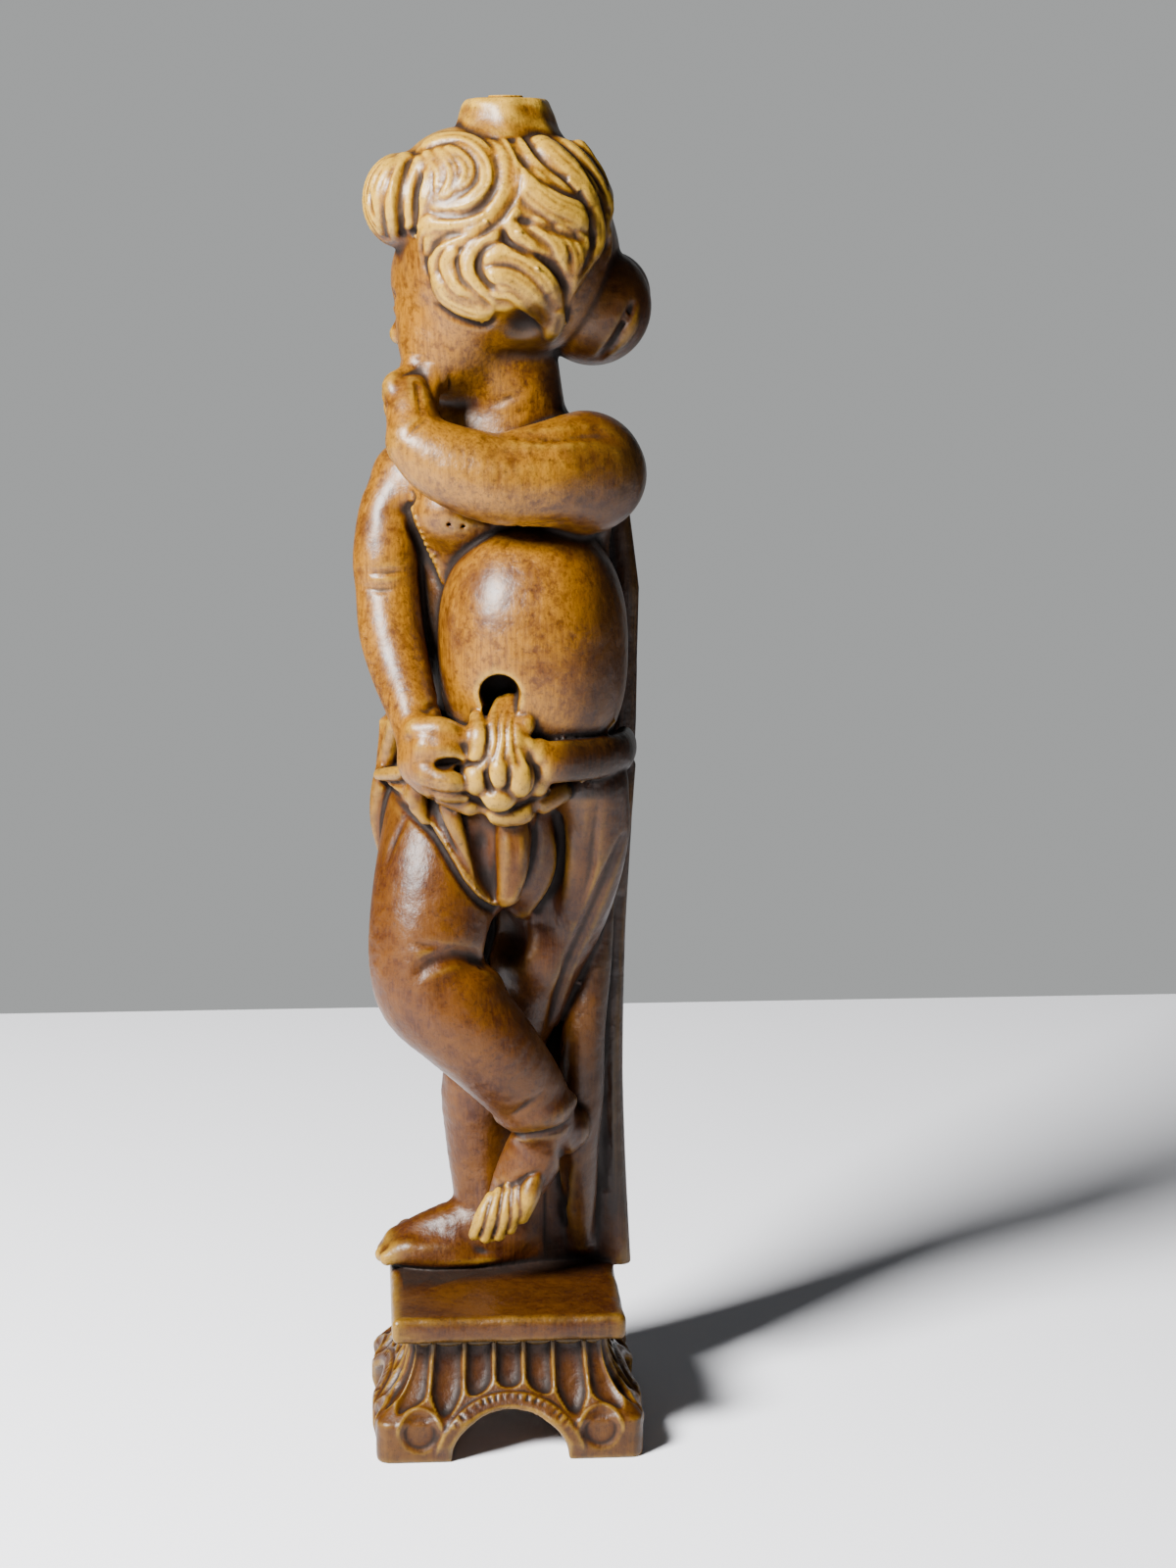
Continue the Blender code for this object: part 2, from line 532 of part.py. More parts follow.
def model_legs(block):
    """Standing left leg, right leg crossed in front of it, both feet."""
    block.rod(STANDING_LEG, STANDING_LEG_GIRTH, 3)
    block.ball((10, 0, 146), (10.5, 9, 12), 4)
    block.ball((-14, 19, 46), (21, 11, 4.5), 1)
    block.rod([(2, 20, 51), (-10, 20, 54), (-22, 20, 52), (-31, 20, 49)], [8.4, 9, 7.2, 5.4], 3)
    for toe in range(5):
        y = 8.6 + 5.3 * toe
        tip = -37.6 + 1.2 * abs(toe - 1.2)
        girth = 3.7 - 0.25 * abs(toe - 4)
        block.rod([(-24, y, 49), (-31, y, 48.6), (tip, y, 46.6)], [4, girth, girth], 0.5)
    block.rod(CROSSED_LEG, CROSSED_LEG_GIRTH, 2)
    block.rod([(19.4, -1, 91.5), (12, -2, 88), (6, -1, 77), (1.5, 1, 68)], [7.2, 9.2, 8.6, 6.6], 2.4)
    for toe in range(5):
        share = toe / 4
        top = (-1.0 + 12.4 * share, -7.6, 73 + 4.4 * share)
        tip = (-9.0 + 12.6 * share, -7.0, 59.6 + 3.6 * share * share)
        middle = (0.5 * (top[0] + tip[0]), -9.2, 0.5 * (top[2] + tip[2]))
        block.rod([top, middle, tip], [2.2, 2.5, 2.2], 0.2)


def model_cloak(block):
    """Cloak that hangs behind the figure down to the slab, with its folds at the right edge."""
    cells, x, y, z = block.patch((-48, -8, DRAWN_FEET - 4), (48, 42, 300))
    levels = [43, 80, 105, 125, 150, 175, 215, 255, 285, 300]
    right = np.interp(z, levels, [40.6, 38.4, 37, 36.8, 37, 38.4, 41.6, 42.6, 39, 30])
    left = np.interp(z, levels, [-7, -7, -10, -19, -28, -32.5, -34, -36, -35, -30])
    front = 11 + 5 * np.cos((x - 22) / 15.0) + 0 * z
    rear = 35.5 - 0.006 * (x - 2) ** 2 - 1.2 * np.cos(x * 0.55 + z * 0.012) - 5 * smooth_step(z, 250, 300)
    middle = 0.5 * (left + right)
    half = 0.5 * (right - left)
    slab = soft_max(front - y, y - rear, 4)
    sides = np.abs(x - middle) - half
    sheet = soft_max(soft_max(slab, sides, 6), z - 296, 8)
    block.combine(cells, soft_max(sheet, DRAWN_FEET - 1 - z, 0), 1.5, False)
    block.rod([(25, -13, 200), (27, -9, 184), (24, -3, 165), (18, 2, 146), (14, 6, 132)], [12, 10.5, 9.5, 6.5, 3], 4)
    for line, girth in CLOAK_FOLDS:
        block.rod(line, girth, 3)


def model_loincloth(block):
    """Loincloth with its hem, centre fold, belt and knot, and the hollow above the knot."""
    block.ball((-3, -6, 186), (17, 17, 24), 6)
    block.swell(HEM, -41, 18, 2.4, 1.4)
    block.rod([(1.6, -21, 200), (2, -24, 186), (1.6, -23.5, 171)], [5.2, 5.4, 4.6], 0.8)
    block.rod([(-32, -2, 217), (-33.6, 3, 204), (-34.6, 5, 190), (-34, 6, 174)], [3, 3.8, 3.4, 1.6], 1)
    block.rod([(-30, -9, 203), (-33, -4, 194), (-34.4, 1, 180)], [2.6, 2.8, 1.4], 0.6)
    belt = [(12, -32.5, 210), (21, -29, 210), (29, -22.5, 209.7), (34.5, -12, 209.3), (36.8, 0, 209)]
    block.rod(belt, 6.2, 0.6, squash=(0.6, 0.6, 1))
    block.rod([(-2, -38, 224), (-2, -33, 230), (-2, -27, 230)], [5.6, 5.4, 4], 0.6, cut=True)
    block.ball((0, -28, 209), (12.5, 8, 11.5), 1)
    for line, girth in KNOT_LOBES:
        block.rod(line, girth, 0.4)


def model_head(block):
    """Skull, face, bunched hair at the back of the head."""
    block.ball(HEAD_CENTRE, (32, 31, 33), 4)
    block.ball((19, 8, 352), (17, 20, 19), 6)
    block.ball(face_point(8, 0, 2), (20, 21, 22), 3, turn=-FACE_TURN)
    block.ball(face_point(9, 0, 9), (19, 20, 16), 3, turn=-FACE_TURN)
    for side in (-1, 1):
        block.ball(face_point(9.5, side * 10.5, -12.5), (14.2, 13.5, 14.2), 3)
    block.ball(face_point(15, 0, -22), 8, 4)
    for side in (-1, 1):
        block.ball(face_point(25, side * 9, -0.5), (5.4, 4.4, 3.4), 1.2, cut=True)
        block.ball(face_point(19.5, side * 8.8, -0.8), (4.6, 4.6, 3.4), 0.6)
    block.rod([face_point(22, 0, 1), face_point(24.5, 0, -5), face_point(26.4, 0, -9)], [2.4, 2.8, 3.3], 1.5)
    for side in (-1, 1):
        block.ball(face_point(24, side * 2.9, -10.4), 2.1, 1)
    block.ball(face_point(23.2, 0, -15.6), (2.8, 5, 1.9), 0.8, turn=-FACE_TURN)
    block.ball(face_point(22.6, 0, -19), (2.8, 4.4, 2.1), 0.8, turn=-FACE_TURN)
    block.ball((33, 15, 342.5), (12.5, 13, 13), 1)
    block.ball(BUNCH_CENTRE, BUNCH_RADII, 0.8)
    slit = [(39, 342), (37.6, 337.5), (35.6, 333), (33.2, 328.8), (31, 326)]
    block.groove(block.skin(slit, FRONT), [0, 4.5, 6, 4.5, 0], 1.5)
    lip = [(41, 340), (39.6, 335.5), (37.2, 331), (34.4, 327)]
    block.rod(block.skin(lip, FRONT, 1.2, 12), [1.4, 2.2, 2.2, 1.2], 1)


def model_hair(block):
    """Thick locks swept from the crown, the same way on both sides of the head."""
    laid = []
    for side in (FRONT, BACK):
        for line, girth in HAIR_LOCKS:
            laid.append((block.skin(line, side, 0.25 * girth, LOCK_EDGE_DEPTH), girth))
    for line, girth in laid:
        taper = np.full(len(line), float(girth))
        taper[0] *= 0.7
        taper[-1] *= 0.55
        block.rod(line, taper, 0.3)


def model_stub(block):
    """Short round stub with a worn rounded top and a small disc in it."""
    reach = STUB_BOTTOM_DIAMETER
    middle_x, middle_y = STUB_CENTRE
    cells, x, y, z = block.patch((middle_x - reach, middle_y - reach, 380), (middle_x + reach, middle_y + reach, 405))
    top = DRAWN_TOP - STUB_DISC_RAISE
    flare = smooth_step(top - z, 3, STUB_HEIGHT)
    radius = 0.5 * (STUB_TOP_DIAMETER + (STUB_BOTTOM_DIAMETER - STUB_TOP_DIAMETER) * flare)
    away = np.sqrt((x - middle_x) ** 2 + (y - middle_y) ** 2)
    block.combine(cells, soft_max(away - radius, z - top, 2.2), 0.6, False)
    disc = soft_max(away - STUB_DISC_DIAMETER / 2, np.abs(z - top) - STUB_DISC_RAISE, 0)
    block.combine(cells, disc, 0, False)


def model_slab(block):
    """Square slab carved with the figure; its underside lies on the foot."""
    half = SLAB_WIDTH / 2
    low = DRAWN_FEET - SLAB_THICKNESS / FIGURE_SCALE
    cells, x, y, z = block.patch((-half - 4, -half - 4, low - 4), (half + 4, half + 4, DRAWN_FEET + 3))
    r = SLAB_EDGE_ROUND
    dx, dy = np.abs(x) - half + r, np.abs(y) - half + r
    dz = np.abs(z - 0.5 * (DRAWN_FEET + low)) - 0.5 * (DRAWN_FEET - low) + r
    outside = np.sqrt(np.maximum(dx, 0) ** 2 + np.maximum(dy, 0) ** 2 + np.maximum(dz, 0) ** 2)
    block.combine(cells, outside + np.minimum(np.maximum(np.maximum(dx, dy), dz), 0) - r, 1.0, False)


def carve_creases(block):
    """Grooves that part the limbs and the cloth, cut to follow the surface."""
    for line, depth, width in FRONT_CREASES:
        block.groove(block.skin(line, FRONT), depth, width)
    for x_top, x_foot in ((-25, -14), (-9, -2), (8, 10), (24, 24)):
        line = [(x_top, 262), (0.5 * (x_top + x_foot), 170), (x_foot, 70)]
        block.groove(block.skin(line, BACK), [0, 2.2, 1.6], 2.8)


def build_figure(material):
    """The carved figure with its cloak, slab and stub."""
    block = Block((-52, -46, 28), (52, 46, 406), GRAIN_STEP)
    model_torso(block)
    model_cloak(block)
    model_legs(block)
    model_loincloth(block)
    model_arms(block)
    model_head(block)
    model_hair(block)
    model_stub(block)
    carve_creases(block)
    model_slab(block)

    def stand_on_slab(place):
        place = place.copy()
        place[:, 2] = SLAB_TOP + (place[:, 2] - DRAWN_FEET) * FIGURE_SCALE
        return place

    def finely_carved(place):
        x, y, z = place.T
        head = z > HEAD_CENTRE[2] - 34
        knot = (np.abs(x + 3) < 18) & (np.abs(z - 214) < 20) & (y < -24)
        toes = (z < 80) & (z > DRAWN_FEET + 1) & (y < 14) & (x < 14)
        return head | knot | toes

    return make_object("cherub_figure", block, FIGURE_TRIANGLES, material, stand_on_slab, finely_carved)


def build_foot(material):
    """Flared fluted foot with four corner pads and an arch through each side."""
    half = FOOT_WIDTH / 2
    neck = FOOT_NECK_WIDTH / 2
    pad = half - ARCH_RIM_RAISE
    block = Block((-half - 4, -half - 4, -4), (half + 4, half + 4, FOOT_HEIGHT + 4), GRAIN_STEP)
    cells, x, y, z = block.patch(block.low, block.low + 2 * half + 8)
    rise = np.clip((z - FOOT_PAD_HEIGHT) / (FOOT_HEIGHT - FOOT_PAD_HEIGHT), 0, 1)
    width = neck + (pad - neck) * (1 - rise) ** FOOT_FLARE
    faces = []
    for across, along in ((x, y), (y, x)):
        share = along / width
        wave = np.abs(np.sin(0.5 * math.pi * (FLUTE_COUNT * share + 1)))
        zone = smooth_step(z, FLUTE_BOTTOM, FLUTE_BOTTOM + 4) * (1 - smooth_step(np.abs(share), 0.86, 0.9))
        flute = FLUTE_DEPTH * np.sqrt(np.clip(1.35 * wave - 0.35, 1e-4, 1)) * zone
        hoop = (np.sqrt((2 * along / ARCH_WIDTH) ** 2 + (z / ARCH_HEIGHT) ** 2 + 1e-9) - 1) * ARCH_HEIGHT
        rim = 1 - smooth_step(np.abs(hoop - 0.5 * ARCH_RIM_WIDTH), 0.5 * ARCH_RIM_WIDTH - 1, 0.5 * ARCH_RIM_WIDTH)
        away = np.sqrt((np.abs(along) - MEDALLION_FROM_MIDDLE) ** 2 + (z - MEDALLION_FROM_TABLE) ** 2)
        dish = MEDALLION_DEPTH * (1 - smooth_step(away, MEDALLION_RADIUS - 1.2, MEDALLION_RADIUS))
        edge = 1 - smooth_step(np.abs(away - MEDALLION_RADIUS - 0.5 * MEDALLION_RIM), 0.2, MEDALLION_RIM)
        raised = np.maximum(rim, edge) * smooth_step(z, 5, 9)
        depth = flute * (1 - np.maximum(rim, edge)) + dish - ARCH_RIM_RAISE * raised
        faces.append((np.abs(across) - width + depth, hoop))
    solid = soft_max(faces[0][0], faces[1][0], FOOT_CORNER_ROUND)
    solid = soft_max(soft_max(solid, z - FOOT_HEIGHT, 1.5), -z, 2.0)
    for face, hoop in faces:
        solid = soft_max(solid, -hoop, 1.0)
    block.value[cells] = solid.astype(np.float32)
    return make_object("fluted_foot", block, FOOT_TRIANGLES, material)


def clear_scene():
    """Take every object out of the scene."""
    for thing in list(bpy.data.objects):
        bpy.data.objects.remove(thing, do_unlink=True)


def main():
    """Build both pieces."""
    clear_scene()
    build_figure(make_material("carved_figure_wood", (0.36, 0.17, 0.055), 0.42))
    build_foot(make_material("plinth_wood", (0.27, 0.115, 0.04), 0.5))


main()
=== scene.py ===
"""Carved wooden statue of a plump child on a fluted foot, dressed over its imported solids.

The figure is carved in a block of samples, as a carver takes wood away, because its locks, folds
and limbs run into one another. The foot is modelled from a cube in edit mode and finished with
modifiers. Both stand where their solids stand and keep their size.

Sizes are in millimetres unless a name says metres. Front is -Y and up is +Z; left and right are
the figure's own, so its left is at +X.
"""

import logging
import math
from dataclasses import dataclass, field, replace
from enum import Enum
from typing import Any, Callable, Optional, Sequence, Union

import bmesh
import bpy
import numpy as np
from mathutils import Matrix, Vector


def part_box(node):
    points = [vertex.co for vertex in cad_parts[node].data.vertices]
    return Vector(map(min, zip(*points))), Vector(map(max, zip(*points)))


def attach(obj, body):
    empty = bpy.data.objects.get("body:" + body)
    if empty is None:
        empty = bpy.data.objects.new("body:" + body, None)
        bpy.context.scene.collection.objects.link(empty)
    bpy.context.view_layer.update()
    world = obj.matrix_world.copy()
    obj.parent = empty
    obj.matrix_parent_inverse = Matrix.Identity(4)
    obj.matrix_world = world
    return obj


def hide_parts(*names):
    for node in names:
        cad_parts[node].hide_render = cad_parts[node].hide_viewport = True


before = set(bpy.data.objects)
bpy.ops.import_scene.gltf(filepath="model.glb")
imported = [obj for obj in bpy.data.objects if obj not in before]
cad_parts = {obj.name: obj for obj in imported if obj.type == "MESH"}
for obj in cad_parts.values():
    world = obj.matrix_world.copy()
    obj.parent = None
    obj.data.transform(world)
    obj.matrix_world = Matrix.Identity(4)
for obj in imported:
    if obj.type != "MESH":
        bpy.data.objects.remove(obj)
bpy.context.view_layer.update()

LOG = logging.getLogger("statue")
MILLIMETRE = 0.001
BODY = "root"
FIGURE_NODE = "cherub_figure"
FOOT_NODE = "fluted_foot"

Point = tuple[float, float, float]
Spot = tuple[float, float]
Girth = Union[float, Sequence[float]]


class Side(Enum):
    """The side from which a line is drawn on the carving."""

    FRONT = -1
    BACK = 1


class Relief(Enum):
    """Measures kept at a piece's points, which its finish reads."""

    # FINE, MIDDLE and WIDE measure how proud the wood is; the finish paints shade into their
    # hollows, and dirt into the fine grooves.
    FINE = "relief_fine"
    MIDDLE = "relief_middle"
    WIDE = "relief_wide"
    PALE = "tone_pale"
    # RED and DARK hold tones of the wood, and also painted shade: the side away from the key light,
    # the cloak, the belt, a curl and under the slab.
    RED = "tone_red"
    DARK = "tone_dark"


@dataclass(frozen=True)
class Rod:
    """A rounded form along a curved axis, such as a limb, a fold or a petal of cloth."""

    points: tuple[Point, ...]
    girth: Girth
    blend: float = 2.0
    squash: Point = (1, 1, 1)


@dataclass(frozen=True)
class Ball:
    """An egg-shaped form."""

    centre: Point
    radii: Girth
    blend: float = 2.0
    turn: float = 0.0
    power: float = 2.0


@dataclass(frozen=True)
class Crease:
    """A line carved into the surface; a negative depth stands proud of it."""

    line: tuple[Spot, ...]
    depth: Girth
    width: float
    side: Side = Side.FRONT


@dataclass(frozen=True)
class Lock:
    """A lock of hair drawn on the head, with half of its width."""

    line: tuple[Spot, ...]
    half_width: float


@dataclass(frozen=True)
class FaceForm:
    """An egg-shaped form placed forward, aside and up from the middle of the face."""

    place: Point
    radii: Girth
    blend: float
    turned: bool = False
    cut: bool = False


@dataclass(frozen=True)
class Zone:
    """A soft zone of the surface, for a tone: rises along X, Y and Z and a round patch."""

    level: float
    x: tuple[Spot, ...] = ()
    y: tuple[Spot, ...] = ()
    z: tuple[Spot, ...] = ()
    centre: Spot = (0, 0)
    radii: Spot = (1, 1)
    near: Optional[Spot] = None

    def weight(self, place: np.ndarray) -> np.ndarray:
        """Work out the zone's strength.

        Args:
            place: The points of the surface.

        Returns:
            A weight for every point.
        """
        total = np.full(len(place), self.level)
        for values, rises in zip(place.T, (self.x, self.y, self.z)):
            for none, full in rises:
                total = total * smooth_step(values, none, full)
        if self.near:
            across, up = ((place[:, axis] - middle) / radius
                          for axis, middle, radius in zip((0, 2), self.centre, self.radii))
            total = total * smooth_step(np.hypot(across, up), *self.near)
        return total


# Painted shade under the curl that hangs over the cheek: darker, and not pale.
CURL_SHADE = Zone(1, centre=(9.5, 333.5), radii=(9.5, 9), near=(1.15, 0.6))
# Painted shade on the belt beside the knot and around it: redder and darker.
BELT_SHADE = Zone(1, x=((10, 20),), centre=(0, 208), radii=(math.inf, 1), near=(13, 9))
# Painted shade: the figure's left side, away from the key light, is painted redder and darker.
SHADED_LEFT_SIDE = Zone(1, x=((8, 36),))


def strongest(place: np.ndarray, zones: Sequence[Zone], *more: np.ndarray) -> np.ndarray:
    """Take the largest of many weights at every point.

    Args:
        place: The points.
        zones: Zones to weigh them by.
        more: Weights worked out before.

    Returns:
        The largest weights.
    """
    return np.maximum.reduce([*(zone.weight(place) for zone in zones), *more])


def smooth_path(points: Sequence, per_span: int = 5) -> np.ndarray:
    """Lay points along a smooth curve through the given ones.

    Args:
        points: Rows of any number of columns.
        per_span: Steps between two given rows.

    Returns:
        The rows of the smooth curve.
    """
    knots = np.array(points, dtype=float)
    if len(knots) < 3:
        share = np.linspace(0, 1, per_span + 1)[:, None]
        return knots[0] * (1 - share) + knots[-1] * share
    ends = np.vstack([2 * knots[0] - knots[1], knots, 2 * knots[-1] - knots[-2]])
    rows = []
    for a, b, c, d in zip(ends, ends[1:], ends[2:], ends[3:]):
        for step in range(per_span):
            t = step / per_span
            rows.append(0.5 * (2 * b + (c - a) * t + (2 * a - 5 * b + 4 * c - d) * t * t
                               + (3 * b - a - 3 * c + d) * t ** 3))
    rows.append(knots[-1])
    return np.array(rows)


def soft_min(a: np.ndarray, b: np.ndarray, blend: float) -> np.ndarray:
    """Take the smaller of two fields, rounded over where they meet.

    Args:
        a: One field.
        b: The other field.
        blend: Width of the rounding.

    Returns:
        The joined field.
    """
    if blend <= 0:
        return np.minimum(a, b)
    share = np.clip(1 - np.abs(a - b) / blend, 0, None)
    return np.minimum(a, b) - share * share * blend * 0.25


def soft_max(a: np.ndarray, b: np.ndarray, blend: float) -> np.ndarray:
    """Take the larger of two fields, rounded over where they meet."""
    return -soft_min(-a, -b, blend)


def smooth_step(value: Any, low: float, high: float) -> Any:
    """Give 0 below low, 1 above high, and a smooth rise between."""
    t = np.clip((value - low) / (high - low), 0, 1)
    return t * t * (3 - 2 * t)


def outline_distance(x: np.ndarray, z: np.ndarray, outline: Sequence[Spot]) -> np.ndarray:
    """Measure the signed distance to a closed outline.

    Args:
        x: Places across.
        z: Places up.
        outline: Corners of the outline.

    Returns:
        Distances, negative inside.
    """
    corners = np.array(outline, dtype=float)
    best = np.full(np.broadcast(x, z).shape, np.inf)
    inside = np.zeros(best.shape, dtype=bool)
    for (ax, az), (bx, bz) in zip(corners, np.roll(corners, -1, axis=0)):
        dx, dz = bx - ax, bz - az
        t = np.clip(((x - ax) * dx + (z - az) * dz) / max(dx * dx + dz * dz, 1e-9), 0, 1)
        best = np.minimum(best, (x - ax - t * dx) ** 2 + (z - az - t * dz) ** 2)
        inside ^= ((az > z) != (bz > z)) & (x < ax + (z - az) * dx / (dz if dz else 1e-9))
    return np.where(inside, -np.sqrt(best), np.sqrt(best))


def near_segment(place: tuple, start: np.ndarray, along: np.ndarray) -> tuple:
    """Find the nearest place on a straight segment.

    Args:
        place: The x, y and z of the samples.
        start: Start of the segment.
        along: The step from its start to its end.

    Returns:
        The share of the segment's length, and the squared distance to it.
    """
    t = sum((p - a) * step for p, a, step in zip(place, start, along))
    t = np.clip(t / max(float(along @ along), 1e-9), 0, 1)
    return t, sum((p - a - t * step) ** 2 for p, a, step in zip(place, start, along))


class WoodBlock:
    """A block of samples that is negative inside the wood."""

    FAR = 30.0

    def __init__(self, low: Point, high: Point, step: float) -> None:
        """Start with an empty block.

        Args:
            low: Lowest corner.
            high: Highest corner.
            step: Distance between samples.
        """
        self.low = np.array(low, dtype=float)
        self.step = step
        count = np.ceil((np.array(high) - self.low) / step).astype(int) + 1
        self.value = np.full(count, self.FAR, dtype=np.float32)

    def patch(self, low: Any, high: Any) -> tuple:
        """Pick the samples inside a box.

        Args:
            low: Lowest corner.
            high: Highest corner.

        Returns:
            The slices, and the x, y and z of the samples.
        """
        first = np.clip(np.floor((np.array(low) - self.low) / self.step).astype(int), 0, None)
        last = np.ceil((np.array(high) - self.low) / self.step).astype(int) + 1
        last = np.maximum(np.minimum(last, self.value.shape), first)
        cells = tuple(slice(a, b) for a, b in zip(first, last))
        axes = [(self.low[i] + self.step * np.arange(first[i], last[i])).astype(np.float32)
                for i in range(3)]
        return (cells, *np.meshgrid(*axes, indexing="ij", sparse=True))

    def combine(self, cells: tuple, distance: np.ndarray, blend: float, cut: bool = False) -> None:
        """Add a shape to the block, or take it away.

        Args:
            cells: Slices of the samples.
            distance: Signed distance to the shape.
            blend: Width of the rounding where it meets the rest.
            cut: True to take the shape away.
        """
        if cut:
            self.value[cells] = soft_max(self.value[cells], -distance, blend)
        else:
            self.value[cells] = soft_min(self.value[cells], distance, blend)

    def ball(self, form: Ball, cut: bool = False) -> None:
        """Add or cut an egg-shaped form.

        Args:
            form: The form.
            cut: True to take it away.
        """
        radii = np.array(form.radii, dtype=float) * np.ones(3)
        reach = radii.max() + form.blend + 2 * self.step
        centre = np.array(form.centre)
        cells, x, y, z = self.patch(centre - reach, centre + reach)
        x, y, z = x - centre[0], y - centre[1], z - centre[2]
        cosine, sine = math.cos(form.turn), math.sin(form.turn)
        x, y = x * cosine + y * sine, y * cosine - x * sine
        power = form.power
        x, y, z = (np.abs(place / radius) for place, radius in zip((x, y, z), radii))
        near = (x ** power + y ** power + z ** power) ** (1 / power)
        rate = np.sqrt(sum((place ** (power - 1) / radius) ** 2
                           for place, radius in zip((x, y, z), radii)))
        distance = (near - 1) * near ** (power - 1) / np.maximum(rate, 1e-6)
        self.combine(cells, distance, form.blend, cut)

    def rod(self, form: Rod, cut: bool = False, per_span: int = 4) -> None:
        """Add or cut a rounded form along a curved axis.

        Args:
            form: The form.
            cut: True to take it away.
            per_span: Straight steps between two points of its axis.
        """
        girth = np.array(form.girth, dtype=float) * np.ones(len(form.points))
        path = smooth_path(np.column_stack([np.array(form.points, dtype=float), girth]), per_span)
        scale = np.array(form.squash, dtype=float)
        reach = path[:, 3].max() * scale.max() + form.blend + 2 * self.step
        cells, x, y, z = self.patch(path[:, :3].min(0) - reach, path[:, :3].max(0) + reach)
        x, y, z = x / scale[0], y / scale[1], z / scale[2]
        best = None
        for start, end in zip(path[:-1], path[1:]):
            along = (end[:3] - start[:3]) / scale
            t, gap = near_segment((x, y, z), start[:3] / scale, along)
            gap = np.sqrt(gap) - (start[3] + t * (end[3] - start[3]))
            best = gap if best is None else np.minimum(best, gap)
        self.combine(cells, best * scale.min(), form.blend, cut)

    def add(self, *forms: Union[Ball, Rod]) -> None:
        """Add forms, one after another.

        Args:
            forms: The balls and rods.
        """
        for form in forms:
            if isinstance(form, Ball):
                self.ball(form)
            else:
                self.rod(form)

    def groove(self, points: Sequence[Point], depth: Girth, width: float) -> None:
        """Carve a soft groove along a line in space.

        Args:
            points: Points on the surface.
            depth: Depth at each point; a negative depth raises a ridge.
            width: Distance at which the groove has faded to about a third.
        """
        depth = np.array(depth, dtype=float) * np.ones(len(points))
        path = smooth_path(np.column_stack([np.array(points, dtype=float), depth]))
        reach = 2.4 * width
        cells, x, y, z = self.patch(path[:, :3].min(0) - reach, path[:, :3].max(0) + reach)
        best = None
        strength = None
        for start, end in zip(path[:-1], path[1:]):
            t, gap = near_segment((x, y, z), start[:3], end[:3] - start[:3])
            cut = start[3] + t * (end[3] - start[3])
            strength = cut if best is None else np.where(gap < best, cut, strength)
            best = gap if best is None else np.minimum(best, gap)
        self.value[cells] += strength * np.exp(-best / (width * width))

    def skin(self, line: Sequence[Spot], side: Side, sink: float = 0.0,
             edge_depth: float = 0.0) -> list[Point]:
        """Lay (x, z) points on the surface seen from one side.

        Args:
            line: The points.
            side: The side they are seen from.
            sink: How far they go into the wood, at right angles to its surface.
            edge_depth: Place of points beyond the outline, towards that side.

        Returns:
            The points in space.
        """
        laid = []
        for x, z in line:
            i = int(round((x - self.low[0]) / self.step))
            k = int(round((z - self.low[2]) / self.step))
            column = self.value[i, :, k][::-side.value]
            inside = np.flatnonzero(column < 0)
            if len(inside) == 0:
                laid.append((x, side.value * edge_depth, z))
                continue
            j = inside[0]
            row = j - column[j] / (column[j] - column[j - 1])
            row = row if side is Side.FRONT else len(column) - 1 - row
            j = j if side is Side.FRONT else len(column) - 1 - j
            around = self.value[i - 1:i + 2, j - 1:j + 2, k - 1:k + 2]
            rise = np.array([around[2, 1, 1] - around[0, 1, 1], around[1, 2, 1] - around[1, 0, 1],
                             around[1, 1, 2] - around[1, 1, 0]], dtype=float)
            rise *= sink / max(np.linalg.norm(rise), 1e-6)
            laid.append((x - rise[0], self.low[1] + self.step * row - rise[1], z - rise[2]))
        return laid

    def drape(self, line: Sequence[Spot], side: Side, sink: float = 0.0,
              edge_depth: float = 0.0) -> np.ndarray:
        """Lay a smooth line on the surface, without jumps in its depth.

        Args:
            line: Its (x, z) points.
            side: The side it is seen from.
            sink: How far it goes into the wood.
            edge_depth: Place of points beyond the outline, towards that side.

        Returns:
            Its points in space, three for every given one.
        """
        fine = smooth_path(line, 3)
        laid = np.array(self.skin([tuple(spot) for spot in fine], side, sink, edge_depth))
        for _ in range(2):
            ends = np.vstack([laid[:1], laid, laid[-1:]])
            laid[:, 1] = np.median([ends[:-2, 1], ends[1:-1, 1], ends[2:, 1]], axis=0)
        laid[1:-1] = 0.25 * laid[:-2] + 0.5 * laid[1:-1] + 0.25 * laid[2:]
        return laid

    def crease(self, *marks: Crease) -> None:
        """Carve creases along the surface, one after another.

        Args:
            marks: The creases.
        """
        for mark in marks:
            laid = self.drape(mark.line, mark.side)
            depth = np.array(mark.depth, dtype=float) * np.ones(len(mark.line))
            given = np.linspace(0, 1, len(depth))
            depth = np.interp(np.linspace(0, 1, len(laid)), given, depth)
            self.groove(laid, depth, mark.width)

    def sampled(self, grid: np.ndarray, place: np.ndarray) -> np.ndarray:
        """Read a grid of the block's size between its samples.

        Args:
            grid: The grid.
            place: The places to read it at.

        Returns:
            A value for every place.
        """
        spot = np.clip((place - self.low) / self.step, 0, np.array(grid.shape) - 1.001)
        cell = spot.astype(int)
        share = spot - cell
        total = np.zeros(len(place))
        for corner in SurfaceMaker.CORNERS:
            weight = np.where(corner, share, 1 - share).prod(axis=1)
            total += weight * grid[tuple((cell + corner).T)]
        return total

